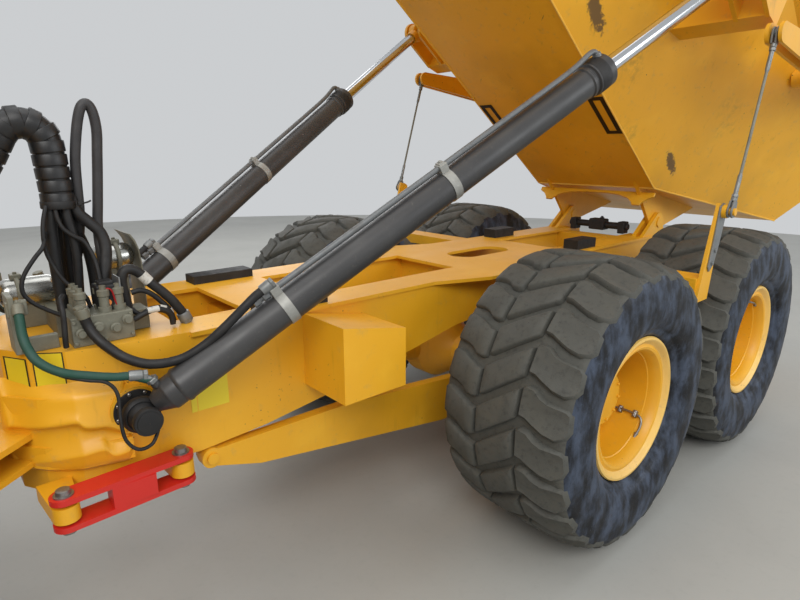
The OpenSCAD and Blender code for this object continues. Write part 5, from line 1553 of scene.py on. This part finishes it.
def lamp_pieces(x, y, z, way, radius):
    """A round lamp: its housing, and its domed lens."""
    shell = lathe([(-0.075, 0.0005), (-0.072, radius * 0.55), (-0.030, radius * 0.98), (0.006, radius),
                   (0.012, radius * 0.96), (0.012, radius * 0.84), (-0.005, radius * 0.84)], place(x, y, z),
                  (way, 0, 0), 32)
    lens = lathe([(-0.004, radius * 0.84), (0.006, radius * 0.80), (0.013, radius * 0.55), (0.016, radius * 0.25),
                  (0.017, 0.0005)], place(x, y, z), (way, 0, 0), 32)
    return smooth(shell, 35), smooth(lens, 50)


def cushion(low, high, up, channels):
    """A crowned pad with pulled-in sides and sewn channels across its face."""
    low, high = Vector(low), Vector(high)
    piece = edit_all(box(low, high), lambda: bpy.ops.mesh.subdivide(number_cuts=13))
    middle, half = (low + high) / 2, (high - low) / 2
    flat = [i for i in range(3) if i != up]
    face = 1 if up == 2 else -1
    for v in piece.data.vertices:
        part = [(v.co[i] - middle[i]) / half[i] for i in range(3)]
        a, b, c = part[flat[0]], part[flat[1]], part[up]
        out = max(abs(a), abs(b))
        pinch = 1 - 0.045 * out ** 4 * (1 - c * c) - 0.10 * max(0.0, abs(c) - 0.4) * out ** 6
        crown = 0.30 * (1 - a * a) * (1 - b * b) * (1 if c * face > 0 else 0.15)
        grooves = sum(math.exp(-((b - g) / 0.055) ** 2) for g in channels) * (0.16 if c * face > 0.5 else 0)
        lip = 0.26 * max(abs(a) ** 8, abs(b) ** 8)
        v.co[flat[0]] = middle[flat[0]] + half[flat[0]] * a * pinch
        v.co[flat[1]] = middle[flat[1]] + half[flat[1]] * b * pinch
        v.co[up] = middle[up] + half[up] * c * (0.80 + crown - grooves - lip)
    return smooth(with_modifier(piece, "SUBSURF", levels=1, render_levels=1), 60)


def steering_wheel():
    """The steering wheel with its three spokes, hub and column."""
    hub = place(-4.720, 0, 1.500)
    axis = Vector((0.230, 0, 0.300)).normalized()
    centre = hub + axis * 0.353
    turns = [math.tau * i / 12 for i in range(13)]
    rim = lathe([(0.0145 * math.sin(a), 0.184 + 0.0145 * math.cos(a)) for a in turns], centre, axis, 48)
    out = axis.orthogonal().normalized()
    parts = [smooth(rim, 60), smooth(lathe([(-0.04, 0.0005), (-0.04, 0.030), (0.0, 0.048), (0.012, 0.044),
                                            (0.016, 0.0005)], centre - axis * 0.02, axis, 32), 35)]
    for i in range(3):
        arm = Quaternion(axis, math.tau * i / 3) @ out
        parts.append(bar(centre - axis * 0.018 + arm * 0.035, centre + arm * 0.182, 0.011, 0.009, 12))
    parts.append(smooth(lathe([(0, 0.0005), (0, 0.045), (0.06, 0.036), (0.33, 0.030), (0.33, 0.0005)], hub, axis, 24),
                        35))
    return parts


class TRUCK_OT_cab(bpy.types.Operator):
    """Window seals, wipers, door handle, mirrors, lamps, seat and controls of the cab"""
    bl_idname = "truck.cab"
    bl_label = "Cab"
    bl_options = {"REGISTER", "UNDO"}

    def execute(self, context):
        for body in ("tractor", "cab_door"):
            seals = [window_seal(side, low, high) for name, on, side, low, high in WINDOWS if on == body]
            finished(f"window_seals_{body}", seals, "black_rubber", body)
        handle = [rounded_box((-4.175, -0.886, 1.215), (-4.085, -0.8795, 1.275), 0.003),
                  pipe([(-4.16, -0.884, 1.262), (-4.16, -0.915, 1.262), (-4.145, -0.921, 1.258),
                        (-4.095, -0.921, 1.235), (-4.085, -0.921, 1.230)], 0.008, 12),
                  rounded_box((-4.145, -0.8845, 1.10), (-4.105, -0.8795, 1.14), 0.002)]
        finished("door_handle", handle, "trim_plastic", "cab_door")
        wipers = []
        for y in (-0.34, 0.34):
            wipers.append(knob((-5.0, y, 1.525), (-1, 0, 0), ((0, 0.020), (0.022, 0.018), (0.026, 0.010)), 16))
            wipers.append(pipe([(-5.020, y, 1.525), (-5.032, y + 0.05, 1.65), (-5.030, y + 0.13, 1.88),
                                (-5.020, y + 0.17, 1.98)], 0.006, 8))
            wipers.append(bar(place(-5.013, y + 0.09, 1.74), place(-5.013, y + 0.24, 2.20), 0.008, 0.007, 8))
        finished("wipers", wipers, "trim_plastic", "tractor")
        shells, lenses = [], []
        for x, z, way in ((-5.012, 2.545, -1), (-3.535, 2.520, 1)):
            for y in (-0.52, 0.52):
                shell, lens = lamp_pieces(x, y, z, way, 0.058)
                shells.append(shell)
                lenses.append(lens)
        for y in (-0.56, 0.56):
            shells.append(smooth(lathe([(0.0, 0.118), (0.0, 0.087), (0.0165, 0.087), (0.0195, 0.096), (0.0165, 0.106),
                                        (0.005, 0.118), (0.0, 0.118)], place(FRONT_END, y, 0.08), (-1, 0, 0), 40),
                                 35))
        finished("lamp_housings", shells, "trim_plastic", "tractor")
        finished("work_lamp_lenses", lenses, "lamp_clear", "tractor")
        lids = []
        for y in (-0.56, 0.56):
            lids.append(smooth(lathe([(0.0195, 0.0845), (0.024, 0.080), (0.029, 0.060), (0.032, 0.030),
                                      (0.033, 0.0005)], place(FRONT_END, y, 0.08), (-1, 0, 0), 40), 50))
        finished("head_lamp_lenses", lids, "lamp_clear", "tractor")
        outline = ((-4.93, 2.640), (-5.02, 2.600), (-5.10, 2.560), (-5.105, 2.568), (-5.02, 2.616), (-4.93, 2.656))
        visor = slab([place(x, -0.70, z) for x, z in outline], (0, 1.40, 0))
        finished("roof_visor", [smooth(bevelled(visor, 0.003, 2), 30)], "trim_plastic", "tractor")
        housings, glasses = [], []
        for side, sign in SIDES:
            low, high = sorted((sign * 1.185, sign * 1.375))
            housing = rounded_box((-4.985, low, 1.835), (-4.935, high, 2.265), 0.018)
            edit_faces(housing, lambda c, n: n.x > 0.95, inset(0.010), extrude((-0.006, 0, 0)))
            arm = pipe([(-4.96, sign * (cab_side(2.15) + 0.004), 2.15), (-4.96, sign * 1.0, 2.155),
                        (-4.96, sign * 1.14, 2.155), (-4.96, sign * 1.19, 2.14)], 0.0155, 12)
            foot = knob((-4.96, sign * (cab_side(2.15) + 0.001), 2.15), (0, sign, 0),
                        ((0, 0.034), (0.01, 0.034), (0.02, 0.022)))
            housings += [smooth(housing, 40), arm, foot]
            glasses.append(rounded_box((-4.942, low + 0.014, 1.852), (-4.9385, high - 0.014, 2.248), 0.0012))
        finished("mirror_housings", housings, "trim_plastic", "tractor", stands_for="mirrors")
        finished("mirror_glasses", glasses, "polished_steel", "tractor")
        seat = [rounded_box((-4.36, -0.16, CAB_FLOOR), (-4.00, 0.16, 0.975), 0.006)]
        for i in range(4):
            fold, z = 0.006 * (i % 2), 0.975 + 0.06 * i
            seat.append(rounded_box((-4.345 + fold, -0.15 + fold, z), (-4.015 - fold, 0.15 - fold, z + 0.062), 0.018))
        seat += [rounded_box((-4.455, -0.245, 1.215), (-3.99, 0.245, 1.25), 0.010),
                 rounded_box((-3.955, -0.23, 1.30), (-3.915, 0.23, 1.93), 0.012)]
        for y in (-0.285, 0.285):
            seat.append(rounded_box((-4.30, y - 0.025, 1.47), (-4.02, y + 0.025, 1.505), 0.012))
            seat.append(bar(place(-3.99, y, 1.485), place(-3.935, y * 0.8, 1.485), 0.012, 0.012, 12))
        finished("seat_base", seat, "trim_plastic", "tractor", stands_for="cab_seat")
        pads = (("seat_cushion", place(-4.47, -0.26, 1.25), place(-3.985, 0.26, 1.375), 2, (-0.45, 0.0, 0.45)),
                ("seat_back", place(-4.055, -0.25, 1.38), place(-3.945, 0.25, 1.985), 0, ()))
        for name, low, high, up, channels in pads:
            pad = cushion(low, high, up, channels)
            pad.name = name
            dress(pad, "seat_fabric", "tractor")
        outline = ((0.001, 0.0), (0.001, 0.62), (0.12, 0.64), (0.30, 0.56), (0.33, 0.42), (0.20, 0.0))
        console = slab([place(-4.96 + x, -0.60, CAB_FLOOR + z) for x, z in outline], (0, 1.20, 0))
        parts = [smooth(bevelled(console, 0.018, 3), 40)] + steering_wheel()
        slope = Vector((0.08, 0, 0.18)).normalized()
        for y in (-0.17, 0.0, 0.17):
            spot = place(-4.75, y, 1.5405)
            parts.append(smooth(lathe([(-0.01, 0.050), (0.008, 0.050), (0.010, 0.046), (0.008, 0.041), (0.002, 0.040),
                                       (0.002, 0.0005)], spot, slope, 32), 30))
        finished("dashboard_dressed", parts, "trim_plastic", "tractor", stands_for="dashboard")
        return {"FINISHED"}


def louvres(sign):
    """Slanted slats on the hood's side."""
    parts = []
    for i in range(7):
        z = 0.80 + 0.052 * i
        outline = ((HOOD_SIDE, 0.0), (0.7135, 0.004), (0.7145, 0.010), (HOOD_SIDE, 0.036))
        slat = slab([place(-5.62, sign * y, z + dz) for y, dz in outline], (0.46, 0, 0))
        parts.append(bevelled(slat, 0.0015, 1))
    return parts


class TRUCK_OT_tractor(bpy.types.Operator):
    """Grille, louvres, steps, rails, caps and exhaust of the tractor"""
    bl_idname = "truck.tractor_trim"
    bl_label = "Tractor"
    bl_options = {"REGISTER", "UNDO"}

    def execute(self, context):
        wires = []
        for i in range(25):
            y = -0.576 + 0.048 * i
            wires.append(bar(place(FRONT_END + 0.113, y, 0.552), place(FRONT_END + 0.178, y, 1.285), 0.0035, sides=6))
        for i in range(15):
            z = 0.56 + 0.05 * i
            x = FRONT_END + 0.1135 + (z - 0.552) * 0.0887
            wires.append(bar(place(x, -0.585, z), place(x, 0.585, z), 0.0035, sides=6))
        finished("grille_mesh", wires, "trim_plastic", "hood")
        finished("hood_louvres", louvres(-1) + louvres(1), "machine_paint", "hood")
        latches = []
        for side, sign in SIDES:
            for x in (-5.16, -5.95):
                low, high = sorted((sign * HOOD_SIDE, sign * 0.716))
                latches.append(rounded_box((x - 0.035, low, 0.765), (x + 0.035, high, 0.805), 0.005))
        latches.append(rounded_box((-5.62, -0.10, 1.6205), (-5.50, 0.10, 1.632), 0.004))
        finished("hood_latches", latches, "trim_plastic", "hood")
        stack = lathe([(0, 0.0005), (0, 0.075), (0.012, 0.075), (0.014, 0.060), (0.300, 0.060), (0.322, 0.086),
                       (0.335, 0.104), (0.350, 0.110), (1.090, 0.110), (1.105, 0.104), (1.118, 0.086), (1.140, 0.060),
                       (1.465, 0.060), (1.475, 0.064), (1.498, 0.064), (1.498, 0.054), (1.20, 0.052), (1.20, 0.0005)],
                      place(EXHAUST_X, EXHAUST_Y, 0.38), (0, 0, 1), 48)
        parts = [smooth(stack, 32)]
        for z in (0.80, 1.10, 1.40):
            parts.append(smooth(lathe([(-0.014, 0.1095), (-0.014, 0.1125), (0.014, 0.1125), (0.014, 0.1095),
                                       (-0.014, 0.1095)], place(EXHAUST_X, EXHAUST_Y, z), (0, 0, 1), 40), 30))
            bolt = bar(place(EXHAUST_X, 0.955, z), place(EXHAUST_X, 0.985, z), 0.010, sides=6)
            parts.append(bevelled(bolt, 0.0015, 1))
        finished("exhaust_dressed", parts, "machine_steel", "tractor", stands_for="exhaust_stack")
        steps, rails = [], []
        for z in (-0.16, 0.10):
            steps.append(rounded_box((-5.62, -1.385, z), (-5.26, -TANK_SIDE, z + 0.028), 0.006))
            for x in (-5.61, -5.285):
                steps.append(rounded_box((x, -1.375, z - 0.09), (x + 0.016, -TANK_SIDE, z + 0.002), 0.003))
            for i in range(8):
                for j in range(3):
                    steps.append(knob((-5.595 + 0.044 * i, -1.36 + 0.042 * j, z + 0.0275), (0, 0, 1),
                                      ((0, 0.010), (0.004, 0.008)), 8))
        for i in range(9):
            for j in range(4):
                steps.append(knob((-5.62 + 0.055 * i, -1.19 + 0.085 * j, TANK_TOP), (0, 0, 1),
                                  ((0, 0.014), (0.004, 0.011)), 8))
        finished("steps", steps, "frame_grey", "tractor")
        for x in (-5.66, -5.20):
            rails.append(pipe([(x, -TANK_SIDE, 0.28), (x, -1.30, 0.29), (x, -1.315, 0.34), (x, -1.315, 0.70),
                               (x, -1.315, 1.05), (x, -1.295, 1.13), (x, -1.22, 1.15)], 0.016, 12))
        rails.append(pipe([(-5.66, -1.22, 1.15), (-5.66, -1.0, 1.155), (-5.60, -0.94, 1.155), (-5.30, -0.94, 1.155),
                           (-5.20, -1.0, 1.155), (-5.20, -1.22, 1.15)], 0.016, 12))
        for x in (-4.965, -3.90):
            rails.append(pipe([(x, -0.879, 1.10), (x, -0.935, 1.11), (x, -0.945, 1.16), (x, -0.945, 1.50),
                               (x, -0.935, 1.56), (x, -0.879, 1.57)], 0.013, 12))
        finished("handrails", rails, "frame_grey", "tractor")
        turned = ((0, 0.070), (0.020, 0.070), (0.024, 0.060), (0.050, 0.058), (0.056, 0.050))
        caps = [knob((-5.95, y, TANK_TOP), (0, 0, 1), turned) for y in (1.10, -1.10)]
        finished("filler_caps", caps, "trim_plastic", "tractor")
        edges = []
        for side, sign in SIDES:
            arc = [math.radians(a) for a in range(10, 171, 8)]
            for y in (1.528, 0.742):
                line = [place(FRONT_X + FENDER_R * math.cos(a), sign * y, FENDER_R * math.sin(a)) for a in arc]
                edges.append(tube(line, 0.010, 8, kind="POLY", resolution=1))
        finished("fender_edges", edges, "black_rubber", "tractor")
        return {"FINISHED"}


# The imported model's own nodes that stay in view

NODE_FINISH = {
    "frame_grey": ("front_frame", "driveline", "engine_block", "bumper"),
    "machine_paint": ("rear_frame", "bogie_beams", "middle_axle", "rear_axle", "front_axle", "axle_stays", "side_box",
                      "hood", "fenders", "side_tanks", "cab_shell", "cab_door"),
    "body_paint": ("load_body", "tailgate"),
    "link_red": ("lock_link",),
    "valve_grey": ("valve_block",),
    "black_rubber": ("rest_pads", "hydraulic_hoses"),
    "cylinder_grey": ("hoist_barrel_left", "hoist_barrel_right", "steering_barrel_left", "steering_barrel_right"),
    "chrome_rod": ("hoist_rod_left", "hoist_rod_right", "steering_rod_left", "steering_rod_right"),
    "galvanised": ("gate_cable_left", "gate_cable_right"),
    "machine_steel": ("exhaust_stack",),
    "cab_glass": ("cab_glass", "door_glass"),
    "seat_fabric": ("cab_seat",),
    "trim_plastic": ("dashboard", "mirrors"),
    "lamp_clear": ("front_lamps",),
    "lamp_red": ("rear_lamps",),
}


class TRUCK_OT_node_finishes(bpy.types.Operator):
    """Node-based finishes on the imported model's own pieces"""
    bl_idname = "truck.node_finishes"
    bl_label = "Finishes of the solids"
    bl_options = {"REGISTER", "UNDO"}

    def execute(self, context):
        for name, nodes in NODE_FINISH.items():
            for node in nodes:
                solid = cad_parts[node]
                for slot in solid.material_slots:
                    slot.material = finish(name)
                if not solid.material_slots:
                    solid.data.materials.append(finish(name))
        return {"FINISHED"}


# Stage

CAMERA_AT = (-1.4599, -2.6883, 2.0821)
CAMERA_YAW = math.radians(41.33)
CAMERA_PITCH = math.radians(14.94)
CAMERA_LENS, SENSOR = 25.41, 36


def area_light(name, at, towards, width, height, power, colour=(1, 1, 1)):
    """A soft rectangular light that faces a point."""
    bpy.ops.object.light_add(type="AREA", location=at)
    lamp_object = bpy.context.object
    lamp_object.name = name
    lamp_object.rotation_euler = (Vector(towards) - Vector(at)).to_track_quat("-Z", "Y").to_euler()
    data = lamp_object.data
    data.shape = "RECTANGLE"
    data.size, data.size_y, data.energy, data.color = width, height, power, colour


class TRUCK_OT_stage(bpy.types.Operator):
    """Camera at the photograph's angle, pale floor and soft light"""
    bl_idname = "truck.stage"
    bl_label = "Stage"
    bl_options = {"REGISTER", "UNDO"}

    def execute(self, context):
        bpy.ops.mesh.primitive_circle_add(vertices=96, radius=16, fill_type="NGON", location=(-0.5, 0, 0))
        floor = bpy.context.object
        floor.name = "floor"
        floor.data.materials.append(finish("studio_floor"))
        bpy.ops.object.camera_add(location=CAMERA_AT, rotation=(math.pi / 2 - CAMERA_PITCH, 0, -CAMERA_YAW))
        camera = bpy.context.object
        camera.data.lens = CAMERA_LENS
        camera.data.sensor_width = SENSOR
        camera.data.clip_start = 0.05
        camera.data.clip_end = 500
        context.scene.camera = camera
        area_light("key", (-5.5, -7.5, 8.5), (1.5, 0, 1.2), 7, 5, 665, (1.0, 0.985, 0.96))
        area_light("window", (6.5, -9.0, 5.0), (2.0, 0, 1.5), 8, 4, 300, (0.94, 0.97, 1.0))
        area_light("top", (0.5, 0.5, 11.0), (0.5, 0, 0), 12, 8, 420)
        area_light("back", (3.0, 11.0, 6.0), (0, 0, 2.0), 9, 4, 260)
        world = context.scene.world or bpy.data.worlds.new("studio")
        context.scene.world = world
        world.use_nodes = True
        backdrop = world.node_tree.nodes["Background"]
        backdrop.inputs["Color"].default_value = (0.80, 0.82, 0.84, 1)
        backdrop.inputs["Strength"].default_value = 0.75
        context.scene.view_settings.view_transform = "Standard"
        context.scene.view_settings.look = "None"
        context.scene.view_settings.exposure = 0.0
        return {"FINISHED"}


class TRUCK_PT_panel(bpy.types.Panel):
    """Lists the truck's sizes, colours and pieces"""
    bl_idname = "TRUCK_PT_panel"
    bl_label = "Dump truck"
    bl_space_type = "VIEW_3D"
    bl_region_type = "UI"
    bl_category = "Dump truck"

    def draw(self, context):
        for group in (context.scene.truck_sizes, context.scene.truck_finishes):
            for name in group.bl_rna.properties.keys():
                if name not in ("rna_type", "name"):
                    self.layout.prop(group, name)
        for operator in OPERATORS:
            self.layout.operator(operator.bl_idname)


OPERATORS = (TRUCK_OT_stage, TRUCK_OT_hoses, TRUCK_OT_node_finishes, TRUCK_OT_tyres, TRUCK_OT_rims, TRUCK_OT_hoists,
             TRUCK_OT_head, TRUCK_OT_body, TRUCK_OT_cab, TRUCK_OT_tractor)
CLASSES = (TruckSizes, TruckFinishes) + OPERATORS + (TRUCK_PT_panel,)


def register():
    for one in CLASSES:
        bpy.utils.register_class(one)
    bpy.types.Scene.truck_sizes = bpy.props.PointerProperty(type=TruckSizes)
    bpy.types.Scene.truck_finishes = bpy.props.PointerProperty(type=TruckFinishes)


def unregister():
    del bpy.types.Scene.truck_sizes
    del bpy.types.Scene.truck_finishes
    for one in reversed(CLASSES):
        bpy.utils.unregister_class(one)


def main():
    register()
    bpy.ops.object.select_all(action="DESELECT")
    for operator in OPERATORS:
        group, name = operator.bl_idname.split(".")
        getattr(getattr(bpy.ops, group), name)()
    bpy.ops.object.select_all(action="DESELECT")


if __name__ == "__main__":
    main()
